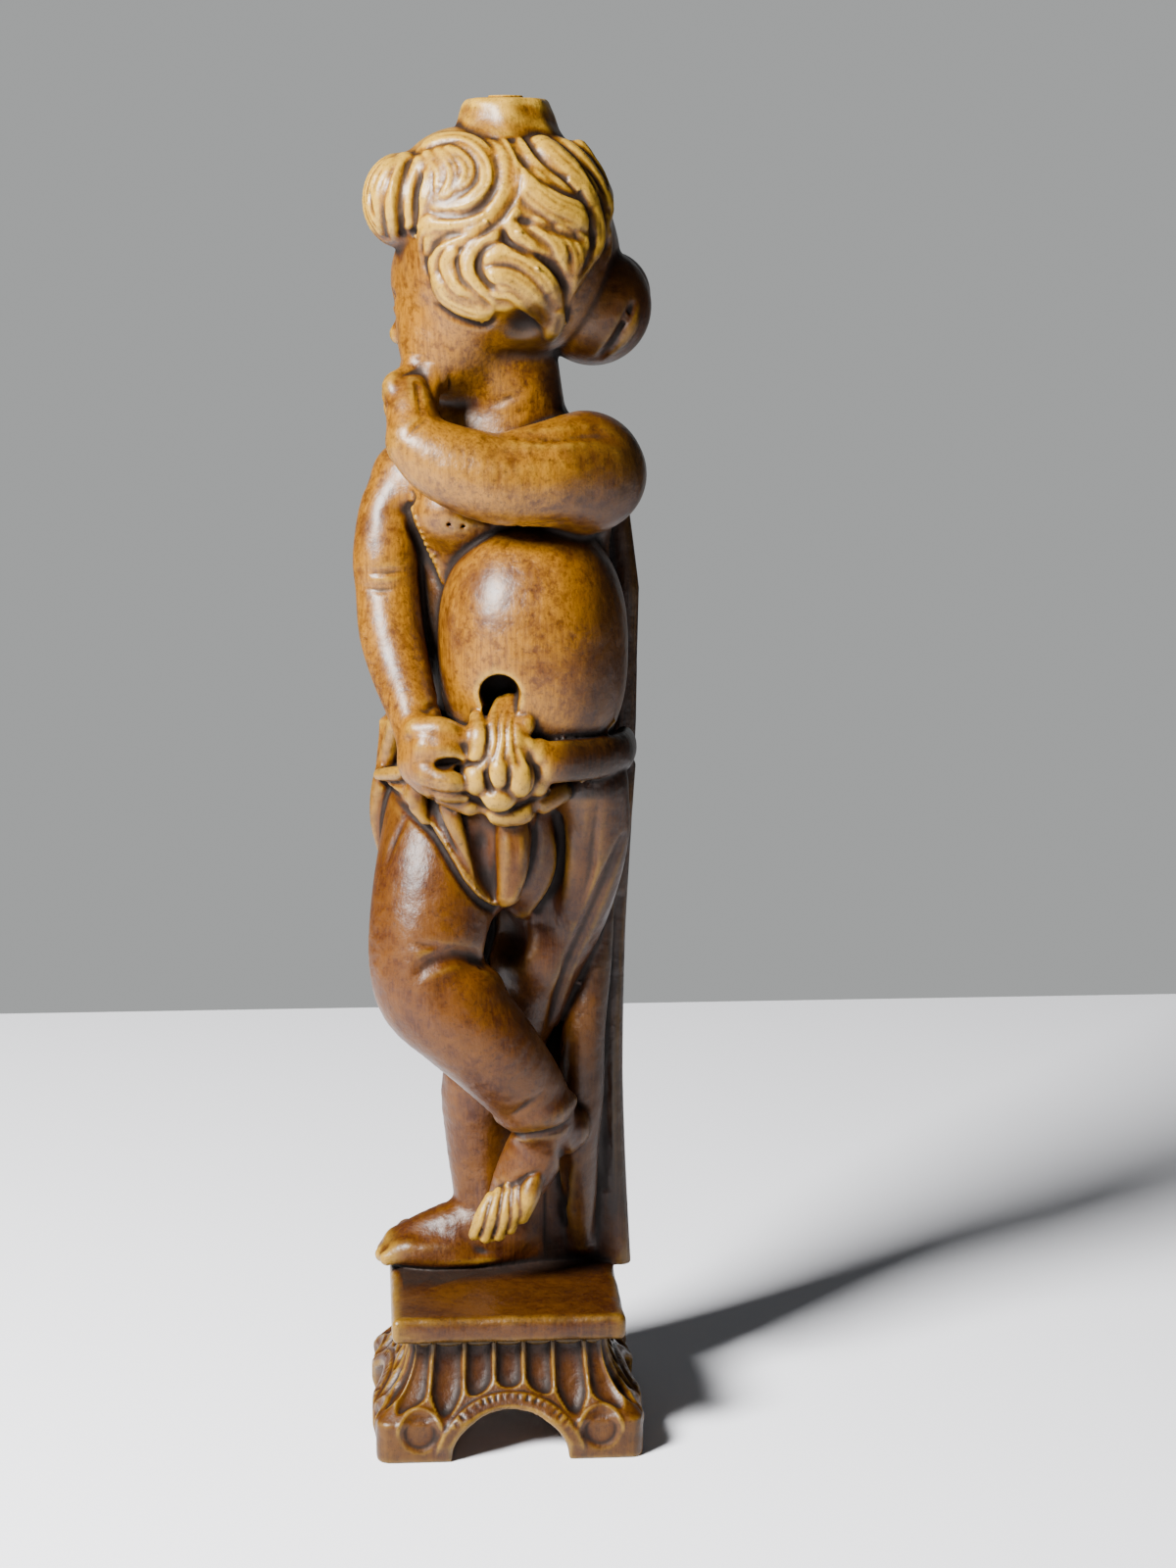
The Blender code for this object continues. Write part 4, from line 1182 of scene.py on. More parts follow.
@dataclass
class Cloak(Creased):
    """Cloak that hangs behind the figure down to the slab."""

    hem_height: float = 43.0
    top: float = 296.0
    front: float = 11.0
    front_wave: float = 5.0
    bulge_x: float = 22.0
    bulge_width: float = 15.0
    rear: float = 35.5
    rear_bend: float = 0.006
    shoulder_sink: float = 5.0
    rear_wave: float = 1.2
    levels: tuple[float, ...] = (43, 80, 105, 125, 150, 175, 215, 255, 285, 300)
    left_edge: tuple[float, ...] = (40.6, 38.4, 37, 36.8, 37, 38.4, 41.6, 42.6, 39, 30)
    right_edge: tuple[float, ...] = (-7, -7, -10, -19, -28, -32.5, -34, -36, -35, -30)
    gather: Rod = Rod(((25, -13, 200), (27, -9, 184), (24, -3, 165), (18, 2, 146), (14, 6, 132)),
                      (12, 10.5, 9.5, 6.5, 3), 4)
    folds: tuple[Rod, ...] = (
        Rod(((37, 2, 203), (34, 0, 180), (27, 1, 156), (19, 4, 139), (14.6, 7, 124)),
            (3.4, 4, 4.2, 3.6, 2), 2.2),
        Rod(((32, 8, 160), (29, 7, 140), (25, 7, 120), (24.4, 7, 100), (23.4, 8, 84), (24, 12, 66),
             (25, 16, 50)), (2.5, 4.5, 6.6, 6.8, 6.4, 5.4, 3.4), 3.6),
        Rod(((36, 18, 230), (35, 17, 190), (33, 17, 150), (32.4, 17, 110), (32.6, 18.4, 80),
             (33.6, 20, 50)), (4, 5.4, 5.4, 5, 4.8, 4.2), 3),
        Rod(((10.4, -13, 194), (12.4, -12, 182), (10.8, -10.4, 171.5), (6.4, -7, 162),
             (1.4, -4, 156)), (3.2, 4.2, 4, 3.2, 2), 1.4),
        Rod(((20, -16, 196), (21, -15.4, 184), (20.4, -12, 172), (17, -6, 156)),
            (2.6, 3, 2.6, 1.4), 1.4),
    )
    creases: tuple[Crease, ...] = (
        Crease(((35, 184), (29.6, 170), (22.6, 151.6), (17.6, 136), (14.6, 122)),
               (1, 4, 4.4, 3.8, 0.8), 1.7),
        Crease(((36.6, 160), (34.4, 140), (32.8, 115), (32, 98), (32.2, 84), (32.6, 68)),
               (1, 3.2, 3.6, 3.6, 3, 0.8), 1.6),
        Crease(((17.4, 90), (18.4, 78), (18.6, 66), (19.6, 57)), (0.6, 3.4, 3.8, 1.2), 1.8),
        Crease(((15.8, 191), (17, 180.3), (15.2, 170), (10.2, 161)), (1.6, 3.2, 3.2, 1), 1.5),
        Crease(((27, 196), (25.6, 184), (25, 172), (21.6, 158)), (0.6, 1.8, 1.8, 0.4), 1.5),
    )
    rear_folds: tuple[Spot, ...] = ((-25, -14), (-9, -2), (8, 10), (24, 24))
    rear_fold_levels: Point = (262, 170, 70)
    rear_fold_depths: Point = (0, 2.2, 1.6)
    rear_fold_width: float = 2.8

    def carve(self, block: WoodBlock) -> None:
        """Carve the hanging sheet and its folds.

        Args:
            block: The block.
        """
        cells, x, y, z = block.patch((-48, -8, self.hem_height - 4), (48, 42, 300))
        right = np.interp(z, self.levels, self.left_edge)
        left = np.interp(z, self.levels, self.right_edge)
        bulge = np.cos((x - self.bulge_x) / self.bulge_width)
        front = self.front + self.front_wave * bulge + 0 * z
        pleats = self.rear_wave * np.cos(x * 0.55 + z * 0.012)
        rear = (self.rear - self.rear_bend * (x - 2) ** 2 - pleats
                - self.shoulder_sink * smooth_step(z, 250, 300))
        sides = np.abs(x - 0.5 * (left + right)) - 0.5 * (right - left)
        sheet = soft_max(soft_max(soft_max(front - y, y - rear, 4), sides, 6), z - self.top, 8)
        block.combine(cells, soft_max(sheet, self.hem_height - 1 - z, 0), 1.5)
        block.add(self.gather, *self.folds)

    def finish(self, block: WoodBlock) -> None:
        """Carve the grooves between the folds, in front and behind.

        Args:
            block: The block.
        """
        super().finish(block)
        for x_top, x_foot in self.rear_folds:
            line = tuple(zip((x_top, 0.5 * (x_top + x_foot), x_foot), self.rear_fold_levels))
            block.crease(Crease(line, self.rear_fold_depths, self.rear_fold_width, Side.BACK))


@dataclass
class Loincloth(Creased):
    """Loincloth with its hem, middle fold, belt and knot, and the hollow above the knot."""

    hem: tuple[Spot, ...] = ((-44, 199), (-33, 197.6), (-28.6, 194.3), (-21.8, 189), (-17.3, 182),
                             (-12.8, 174), (-8.2, 168.4), (-3.6, 164.8), (-1, 164.4), (1.6, 166),
                             (4.7, 171.4), (8, 180), (10, 194), (14, 214), (-20, 221), (-44, 216))
    hem_reach: Spot = (-41, 18)
    hem_raise: float = 2.4
    hem_edge: float = 1.4
    lap: Ball = Ball((-3, -6, 186), (17, 17, 24), 6)
    middle_fold: Rod = Rod(((1.0, -21, 200), (1.8, -24, 186), (1.6, -23.8, 178),
                            (0.4, -22.4, 170)), (5, 5.2, 5, 4.4), 0.8)
    hip_folds: tuple[Rod, ...] = (
        Rod(((-30, 7, 216), (-32, 9, 202), (-32.6, 10, 188), (-31.6, 10, 172)), (4.5, 5.4, 5.2, 3),
            3),
        Rod(((-31.6, -2, 217), (-33.8, 3, 206), (-36, 4, 196), (-36.6, 5, 186), (-35.6, 6, 175)),
            (2.6, 3, 3.2, 2.8, 1.2), 1.4),
        Rod(((-28, -14, 204.6), (-32, -8, 203), (-36.6, 0, 201.4)), (1.6, 2.2, 1.8), 0.6),
        Rod(((-24.6, -20, 205), (-26, -19, 198), (-23.6, -21, 191.6)), (2.6, 3.4, 1.6), 0.7),
        Rod(((-17.4, -24, 203), (-16.6, -25, 196), (-13.4, -25.6, 186.6), (-9.6, -25.6, 176)),
            (2.4, 2.8, 2.2, 1.2), 0.9),
    )
    roll: Rod = Rod(((-27, -20, 205.6), (-20.6, -27, 201.2), (-13, -29, 198.2), (-5, -30.4, 195.2),
                     (2, -30.4, 194.2), (9, -28.4, 197), (16, -25.6, 200)),
                    (2.4, 3, 3.2, 3.2, 3.4, 3.6, 3.4), 0.7)
    belt: Rod = Rod(((12, -32.5, 210), (21, -29, 210), (29, -22.5, 209.7), (34.5, -12, 209.3),
                     (36.8, 0, 209)), 6.2, 0.6, (0.6, 0.6, 1))
    hollow: tuple[Rod, ...] = (
        Rod(((-1.9, -46, 229.8), (-1.9, -34, 229.8), (-1.9, -23, 230)), (6.2, 6.1, 5.2), 0.6),
        Rod(((-1.9, -46, 226.4), (-1.9, -36, 226.6), (-1.9, -27, 227)), (6, 6, 4.6), 0.6),
        Rod(((-5.2, -46, 223.4), (-5.2, -34, 223.6), (-5, -26, 224.6)), (2.4, 2.4, 1.8), 0.6),
    )
    knot: Ball = Ball((-1.4, -29.2, 208.6), (12.2, 8.0, 12.0), 1, 0, 2.3)
    petals: tuple[Rod, ...] = (
        Rod(((-1, -24, 226), (-3.4, -30.4, 221.6), (-3.6, -34.4, 216.4), (-5.6, -35.2, 210)),
            (2.4, 2.4, 2.2, 2.6), 1.2),
        Rod(((1.2, -24, 227), (-0.8, -31.4, 221.8), (-1.4, -35.2, 216.6), (-2.6, -36.4, 210)),
            (2.2, 2, 1.9, 2.4), 1),
        Rod(((2.6, -25, 227), (1.2, -32.6, 221.4), (0.8, -35.6, 216.4), (1.4, -36.6, 209)),
            (2, 1.9, 1.9, 2.5), 1),
        Rod(((3.8, -26, 226.6), (3.2, -32.6, 221), (3, -35.2, 216.4), (4.8, -36, 209)),
            (2, 2, 2, 2.6), 1),
        Rod(((3.4, -34, 218.2), (6, -34.6, 216), (8.6, -33.6, 213.6)), (1.6, 2.1, 2.6), 1.2),
        Rod(((6.4, -28, 224.6), (5.8, -32, 221.4), (5.4, -33, 218.8)), (1.8, 2.6, 1.8), 1),
        Rod(((-8.4, -28, 222.6), (-7.8, -32.8, 218.4), (-8.2, -34, 213)), (2.2, 3.4, 3.4), 1.2),
    )
    lobes: tuple[Ball, ...] = (
        Ball((-8.6, -33.6, 206), (4.6, 4.6, 5.2), 1, 0.2),
        Ball((-2.4, -35.6, 208.2), (3.7, 4.2, 5.4), 0.8, 0.1),
        Ball((3.6, -35.2, 206.2), (4.4, 4.6, 5.8), 0.8, -0.15),
        Ball((9.2, -32.4, 212.8), (3.6, 4.2, 4.4), 1),
        Ball((-2.6, -34, 200.2), (5.4, 4.2, 4.2), 1.4),
        Ball((9, -30.6, 204.4), (3.8, 4.2, 4.8), 1.2),
    )
    creases: tuple[Crease, ...] = (
        Crease(((-6.4, 208), (-5.6, 205), (-4.6, 202.6)), (0.5, 1.9, 0.6), 0.8),
        Crease(((0.5, 213), (0.6, 209), (0.4, 204.2)), (0.3, 1.3, 0.8), 0.5),
        Crease(((-5.4, 213.6), (-5.7, 210.6), (-6, 207.4)), (0.2, 1, 0.7), 0.5),
        Crease(((3.6, 215.8), (6, 211.4), (7.4, 207.6), (7, 203)), (0.3, 1.3, 1.7, 0.8), 0.6),
        Crease(((1.2, 225.6), (-0.2, 221.6), (-0.4, 216.8), (-1, 212)), (0.4, 0.8, 0.9, 0.3),
               0.45),
        Crease(((2.8, 225.4), (1.8, 221.6), (1.8, 216.6), (3, 210.6)), (0.4, 0.8, 0.9, 0.3), 0.45),
        Crease(((-0.8, 225.4), (-2.6, 221.8), (-2.6, 217), (-4.2, 211.6)), (0.4, 0.8, 0.9, 0.3),
               0.45),
        Crease(((-5.4, 221), (-5.4, 216.4), (-7, 211.6), (-11, 210.2)), (0.5, 1.3, 1.3, 0.5), 0.6),
        Crease(((-33, 195.6), (-27.6, 192), (-21, 186.8), (-16.8, 180), (-12.4, 172.8),
                (-7.8, 166.8), (-3.2, 163)), (0.8, 1.6, 1.8, 1.8, 1.8, 1.8, 1), 1),
        Crease(((-31, 198), (-25.6, 193.4), (-19.6, 187.2), (-15.4, 180), (-11.2, 173.4),
                (-7, 168.4), (-2.6, 165.8), (1, 167), (4.2, 172.6), (6.8, 180)),
               (-0.2, -0.7, -0.7, -0.7, -0.7, -0.7, -0.7, -0.7, -0.7, -0.2), 0.9),
        Crease(((-7.4, 198), (-7.4, 186), (-6, 176), (-4, 169.6)), (2, 5.4, 5, 1), 2.1),
        Crease(((8.4, 197), (8.8, 188), (8.2, 178), (5.6, 170)), (1.4, 3.6, 3.6, 1), 1.5),
        Crease(((1.4, 194), (2.6, 184), (2.2, 174)), (0.2, 0.8, 0.2), 1.4),
        Crease(((-35.6, 199), (-31.4, 197.4), (-27.4, 194.6)), (1.6, 1.8, 0.4), 1),
        Crease(((-29.4, 190.6), (-32.8, 184), (-35.2, 176.6)), (0.6, 1.2, 0.3), 1.2),
        Crease(((-29.6, 203.6), (-29.4, 198), (-27.4, 193)), (0.4, 1.6, 0.6), 0.9),
        Crease(((-21, 201.4), (-20.6, 196), (-19.4, 190)), (0.4, 1.6, 0.8), 0.9),
    )

    def carve(self, block: WoodBlock) -> None:
        """Carve the cloth and its knot.

        Args:
            block: The block.
        """
        block.add(self.lap)
        block.swell(self.hem, *self.hem_reach, self.hem_raise, self.hem_edge)
        block.add(self.middle_fold, *self.hip_folds, self.belt)
        for form in self.hollow:
            block.rod(form, cut=True)
        block.add(self.roll, self.knot, *self.petals, *self.lobes)


@dataclass
class Head:
    """Head with a plain calm child's face, bunched curls and locks swept from the crown."""

    skull: Ball = Ball((2, 2, 357), (31.0, 29.6, 31.6), 4, 0, 2.5)
    crown: Ball = Ball((-12.6, -2, 373), (14.5, 16, 14.5), 7)
    temple: Ball = Ball((19, 8, 352), (16.5, 19.5, 18.5), 6)
    face_origin: Point = (-3.4, 4, 340.5)
    face_turn: float = math.radians(16)
    face: tuple[FaceForm, ...] = (
        FaceForm((8, 0, 2), (20, 21, 22), 3, True),
        FaceForm((9, 0, 9), (19, 20, 16), 3, True),
        FaceForm((8.5, 10, -12), (15, 14, 15), 7),
        FaceForm((15, 0, -22), 8, 4),
    )
    eye: tuple[FaceForm, ...] = (
        FaceForm((28.6, 9, -0.5), (4.4, 6.2, 4.2), 2.4, cut=True),
        FaceForm((21.4, 8.8, -0.8), (4.7, 5.8, 4.2), 1.4),
    )
    lid_place: Point = (25.2, 8.8, -0.2)
    lid_spread: tuple[float, ...] = (-3.6, -1.2, 1.2, 3.6)
    lid_droop: float = 0.08
    lid_depth: tuple[float, ...] = (0.2, 0.7, 0.7, 0.2)
    lid_width: float = 0.7
    nose_line: tuple[Point, ...] = ((22, 0, 1), (24.5, 0, -5), (26.4, 0, -9))
    nose_girth: Point = (2.4, 2.8, 3.3)
    nose_and_lips: tuple[FaceForm, ...] = (
        FaceForm((24, 2.9, -10.4), 2.1, 1),
        FaceForm((21.9, 0, -15.2), (2.8, 4.8, 1.8), 0.9, True),
        FaceForm((21.6, 0, -18.7), (2.8, 4, 2), 0.9, True),
    )
    bunches: tuple[Ball, ...] = (Ball((33, 15, 342.5), (12.5, 13, 13), 1),
                                 Ball((27.4, 2, 339.8), (17.2, 17.4, 17.4), 1.4))
    bunch_slit: Crease = Crease(((38.6, 341.6), (36.8, 337), (34.6, 332.8), (32, 328.6),
                                 (28.4, 324.6)), (0, 3.8, 5.2, 4.4, 0), 1.3)
    bunch_lip: tuple[Spot, ...] = ((39.6, 339.4), (38.4, 335), (36, 330.6), (32.8, 326.6))
    lip_girth: tuple[float, ...] = (1.4, 2.4, 2.4, 1.2)
    forelock: Ball = Ball((-29.2, -3, 370.2), (10.8, 15, 13.4), 3)
    fringe: Ball = Ball((0.5, -21, 348), (15.5, 10, 9.5), 5)
    fringe_hollow: Ball = Ball((6, -27, 333), (7.6, 8.6, 6.4), 2.5)
    hair_edge: tuple[Spot, ...] = (
        (-24, 361.5), (-22.6, 356), (-21.4, 350), (-19.8, 345.8), (-17.6, 341.4), (-13, 338.4),
        (-8, 336.6), (-4, 335), (-0.5, 338), (4, 339), (9.5, 336), (12.6, 330), (15.6, 330),
        (18.4, 336), (20.4, 343), (25, 349.6), (28.6, 354.6), (31, 360), (33.4, 367), (35, 375),
        (34.4, 384), (28, 396), (2, 400), (-22, 396), (-42, 384), (-42, 361))
    hair_reach: Spot = (-40, 44)
    hair_raise: float = 2.2
    hair_border: float = 1.4
    edge_depth: float = 5.0
    lock_rise: float = 0.46
    root_share: float = 0.12
    tail_share: float = 0.72
    thinning: float = 0.9
    locks: tuple[Lock, ...] = (
        Lock(((-26, 383.4), (-30.2, 378), (-31.6, 370), (-30.2, 360.4)), 3.6),
        Lock(((-29.6, 382), (-34.8, 376.4), (-36.8, 369), (-34.9, 360.8)), 3.2),
        Lock(((-22.6, 382.4), (-25.6, 376.5), (-26.2, 369), (-25.9, 362)), 2.8),
        Lock(((-23.4, 384.6), (-18.6, 387), (-11.6, 387.6), (-6.5, 384.6), (-3.8, 379.6),
              (-4.1, 374.6), (-7.6, 370.4), (-12.9, 368.4), (-19, 368)), 3.3),
        Lock(((-17, 385.2), (-11.9, 382.4), (-9.8, 379), (-11, 375.3), (-14.4, 373)), 2.4),
        Lock(((-19.8, 384.9), (-15.4, 381.4), (-14, 377.2), (-15.6, 372.8), (-19, 370.6)), 2.2),
        Lock(((-22.6, 384), (-18.8, 380.6), (-17.6, 376.4), (-19.4, 371.6)), 2),
        Lock(((-25.4, 382.6), (-21.9, 379.6), (-21.2, 376), (-22.8, 371), (-23.8, 365.4)), 2.2),
        Lock(((-6.7, 389.4), (-0.4, 384.3), (1, 379), (-0.5, 372.7), (-3.4, 367.5), (-8.7, 365.2),
              (-15, 364.2), (-20.6, 364), (-23, 361.2), (-23.8, 356.4), (-21.9, 350)), 2.7),
        Lock(((-2.7, 389.6), (2.2, 385.4), (4, 379), (3.2, 372.4), (-0.6, 366.2), (-6.2, 361.6),
              (-12.5, 359.6), (-17.3, 357.4), (-19.8, 353.9), (-20.4, 349.5)), 2.6),
        Lock(((3.6, 389.4), (7.2, 384), (11, 379.6), (15.8, 376), (21.2, 372.8)), 1.7),
        Lock(((5.4, 378), (9.6, 372.6), (15.4, 368.4), (21, 366), (25, 362.6)), 4.8),
        Lock(((10.4, 388), (15.2, 383.2), (20.2, 378.4), (24.6, 373), (27.2, 367)), 4.3),
        Lock(((17.2, 388), (23, 382.8), (27.8, 376.5), (31, 370), (32, 363.5)), 2.7),
        Lock(((21.5, 387), (27, 382), (30, 375.5), (31, 368.5)), 2.2),
        Lock(((26.3, 369.5), (28, 364), (28, 357.5), (24.5, 350.5)), 2.1),
        Lock(((30.2, 363), (31, 357), (29.5, 351.5)), 2.3),
        Lock(((3, 368), (2, 363), (5.4, 358.8), (11, 355.6)), 2.6),
        Lock(((7.6, 364.6), (12.2, 361.6), (16, 357), (17.6, 350.8)), 2.4),
        Lock(((14, 362.8), (19.2, 359.2), (21.9, 353), (20.4, 346)), 2.3),
        Lock(((20.4, 361.4), (24.3, 357), (24.7, 350.5)), 1.8),
        Lock(((-1.9, 361.4), (-7.1, 357.8), (-10.9, 352.1), (-8.5, 346.2), (-3.6, 341.6)), 3),
        Lock(((-14.3, 357.4), (-16.1, 352.4), (-13.9, 347), (-9.4, 342.8)), 2.8),
        Lock(((-19.2, 349), (-17.9, 343.6), (-12.7, 340.4), (-7.4, 338.6), (-3.8, 338.6)), 3),
        Lock(((-5.6, 354.2), (0.6, 355.6), (7.4, 352.8), (13.4, 346.8), (16.2, 339.4)), 3.5),
        Lock(((-4.8, 349.4), (1.4, 349), (7.2, 345.2), (13, 339)), 2.8),
        Lock(((-3.4, 344.8), (1.8, 344.4), (6.2, 341), (11, 335.4)), 2.3),
        Lock(((15.6, 340), (15.8, 334.6), (13.9, 329.8)), 2.1),
    )
    locks_cut: tuple[Crease, ...] = (
        Crease(((-19.9, 366.2), (-14.9, 365.7), (-9.9, 366.5), (-5.8, 369), (-2.6, 373.1),
                (-1.7, 378.4), (-3.2, 383.2), (-6.6, 386.6)),
               (0.6, 2.6, 3.8, 3.8, 2.6, 1.6, 1, 0.2), 1),
        Crease(((3.3, 372.8), (1.9, 369.2), (-0.9, 365.2), (-4.2, 362.4), (-6.8, 360.8)),
               (0.8, 3.2, 3.8, 2.8, 0.8), 1),
        Crease(((-12.8, 361), (-16.8, 360), (-20, 357.6), (-21.8, 353.8), (-21.6, 349.9)),
               (1, 2.8, 3.4, 2.6, 0.8), 1),
        Crease(((2, 388), (5, 382.6), (8.3, 378.4), (12, 375.4), (17, 372.6), (22, 370.4)),
               (0.4, 2, 2.8, 2.6, 2, 0.6), 0.9),
        Crease(((6.8, 388), (9.8, 383), (13.6, 379), (18, 376), (22.6, 371.4), (25, 366)),
               (0.3, 1.4, 2, 2.2, 2, 0.8), 0.9),
        Crease(((14.8, 388), (20.6, 382.8), (25, 377), (28.4, 371), (29.8, 365)),
               (0.2, 1.2, 2, 1.8, 0.5), 0.9),
        Crease(((3.6, 365), (8.2, 364), (12, 362.6), (17, 360.8), (23, 359)),
               (0.8, 2.4, 2.6, 2.4, 0.8), 1),
        Crease(((24.6, 366), (26, 360.1), (25.2, 354.4), (22.6, 349.6)), (0.8, 2.8, 3, 1.4), 1),
        Crease(((0.2, 361.6), (1, 358.6), (4.5, 356.6), (9.6, 354.4)), (0.8, 2.2, 2, 0.6), 0.9),
        Crease(((9.4, 354.4), (13.8, 352), (17.6, 347), (19, 342), (18.2, 336)),
               (0.8, 3.2, 4.2, 4.2, 2), 1.3),
        Crease(((-4.4, 358.2), (-7.2, 354), (-6.9, 349.8), (-4.2, 346.6), (-1, 344)),
               (0.4, 2, 2.4, 2, 0.8), 0.9),
        Crease(((-13, 353.8), (-12.6, 348.6), (-8.8, 344.6), (-4.6, 341)), (0.4, 2, 2, 0.6), 0.9),
        Crease(((-19.5, 341), (-14.2, 337.8), (-9, 335.8), (-4.6, 335.4), (-1.6, 338)),
               (0.6, 2.2, 3, 3, 1.6), 1.2),
        Crease(((-30.6, 379.4), (-33.6, 373), (-34.2, 366), (-33, 359.4)), (0.4, 2.2, 2.8, 2.2),
               0.9),
        Crease(((-26.4, 381.4), (-28.6, 375), (-29.2, 368), (-28.4, 360.6)), (0.6, 2.4, 2.8, 2.2),
               0.9),
        Crease(((-34.4, 378.6), (-37, 373), (-37.4, 366)), (0.3, 1.6, 1.6), 0.8),
        Crease(((-22.4, 379.6), (-23.8, 373.6), (-24.8, 367.8), (-25, 361)), (0.6, 2.6, 3.2, 1.8),
               1),
    )
    forelock_lines: int = 8
    forelock_spread: float = 0.66
    forelock_depth: float = 1.9
    forelock_width: float = 0.85
    strand_depth: float = 0.75
    strand_width: float = 0.7
    strand_counts: tuple[tuple[float, int], ...] = ((2.5, 1), (4, 2), (math.inf, 4))
    strand_spread: float = 0.85
    strand_jump: float = 5.0

    def at_face(self, forward: float, side: float, up: float) -> Point:
        """Give the place that lies so far forward, aside and up from the middle of the face.

        Args:
            forward: Distance to the front.
            side: Distance to the face's own left.
            up: Distance upwards.

        Returns:
            The place.
        """
        cosine, sine = math.cos(self.face_turn), math.sin(self.face_turn)
        x, y, z = self.face_origin
        return (x - forward * cosine - side * sine, y + forward * sine - side * cosine, z + up)

    def carve(self, block: WoodBlock) -> None:
        """Carve the skull, the face and the bunches of curls.

        Args:
            block: The block.
        """
        block.add(self.skull, self.crown, self.temple)
        self.lay(block, self.face)
        for side in (-1, 1):
            self.lay(block, self.eye, (side,))
            forward, aside, up = self.lid_place
            lid = [self.at_face(forward, side * (aside + across), up - self.lid_droop * across ** 2)
                   for across in self.lid_spread]
            block.groove(lid, self.lid_depth, self.lid_width)
        nose = tuple(self.at_face(*place) for place in self.nose_line)
        block.add(Rod(nose, self.nose_girth, 1.5))
        self.lay(block, self.nose_and_lips)
        block.add(*self.bunches)
        block.crease(self.bunch_slit)
        block.add(Rod(tuple(block.skin(self.bunch_lip, Side.FRONT, 1.2, 12)), self.lip_girth, 1))
        block.swell(self.hair_edge, *self.hair_reach, self.hair_raise, self.hair_border)
        block.add(self.forelock, self.fringe)
        block.ball(self.fringe_hollow, cut=True)

    def lay(self, block: WoodBlock, forms: Sequence[FaceForm],
            sides: Sequence[int] = (-1, 1)) -> None:
        """Add or cut forms of the face, on each side for those that lie aside.

        Args:
            block: The block.
            forms: The forms.
            sides: The sides to make them on; 1 is the face's own left.
        """
        for form in forms:
            forward, aside, up = form.place
            turn = -self.face_turn if form.turned else 0
            for side in sides if aside else (1,):
                place = self.at_face(forward, side * aside, up)
                block.ball(Ball(place, form.radii, form.blend, turn), form.cut)

    def comb(self, block: WoodBlock) -> None:
        """Lay the locks as flat ridges on both sides of the head and cut them apart.

        Args:
            block: The block.
        """
        laid = []
        for side in Side:
            for lock in self.locks:
                cap = self.lock_rise * lock.half_width
                radius = (lock.half_width ** 2 + cap ** 2) / (2 * cap)
                line = block.drape(lock.line, side, radius - cap, self.edge_depth)
                laid.append((line, radius, lock.half_width))
        for line, radius, half_width in laid:
            share = np.linspace(0, 1, len(line))
            thinner = (1 - smooth_step(share, self.root_share, 0) * self.thinning
                       - smooth_step(share, self.tail_share, 1) * self.thinning)
            girth = radius - self.lock_rise * half_width * (1 - thinner)
            block.rod(Rod(tuple(tuple(place) for place in line), girth, 0.3), per_span=1)
        for side in Side:
            block.crease(*(replace(cut, side=side) for cut in self.locks_cut))
            for lock in self.locks:
                self.draw_strands(block, lock, side)
        self.part_forelock(block)

    def part_forelock(self, block: WoodBlock) -> None:
        """Carve the lines that run over the front of the forelock.

        Args:
            block: The block.
        """
        (x, y, z), (deep, wide, high) = self.forelock.centre, self.forelock.radii
        angles = np.radians(np.linspace(-62, 66, 9))
        depth = self.forelock_depth * np.sin(np.linspace(0.25, math.pi - 0.25, 9))
        spread = self.forelock_spread
        for share in np.linspace(-spread, spread, self.forelock_lines):
            level = math.sqrt(1 - share * share)
            bend = share + 0.08 * np.sin(2 * angles)
            line = np.column_stack([x - deep * level * np.cos(angles), y + wide * bend,
                                    z + high * level * np.sin(angles)])
            block.groove(line, depth, self.forelock_width)

    def draw_strands(self, block: WoodBlock, lock: Lock, side: Side) -> None:
        """Carve fine lines along one lock, beside each other.

        Args:
            block: The block.
            lock: The lock.
            side: The side of the head.
        """
        line = smooth_path(lock.line, 2)
        along = np.gradient(line, axis=0)
        across = np.column_stack([-along[:, 1], along[:, 0]])
        across = across / np.linalg.norm(along, axis=1)[:, None]
        count = next(count for limit, count in self.strand_counts if lock.half_width < limit)
        for number in range(count):
            share = (number + 1) / (count + 1) * 2 - 1
            moved = line + across * share * lock.half_width * self.strand_spread
            laid = np.array(block.skin([tuple(place) for place in moved[1:-1]], side))
            if len(laid) < 2 or np.abs(np.diff(laid[:, 1])).max() > self.strand_jump:
                continue
            fade = np.sin(np.linspace(0.2, math.pi - 0.2, len(laid)))
            block.groove(laid, self.strand_depth * fade, self.strand_width)


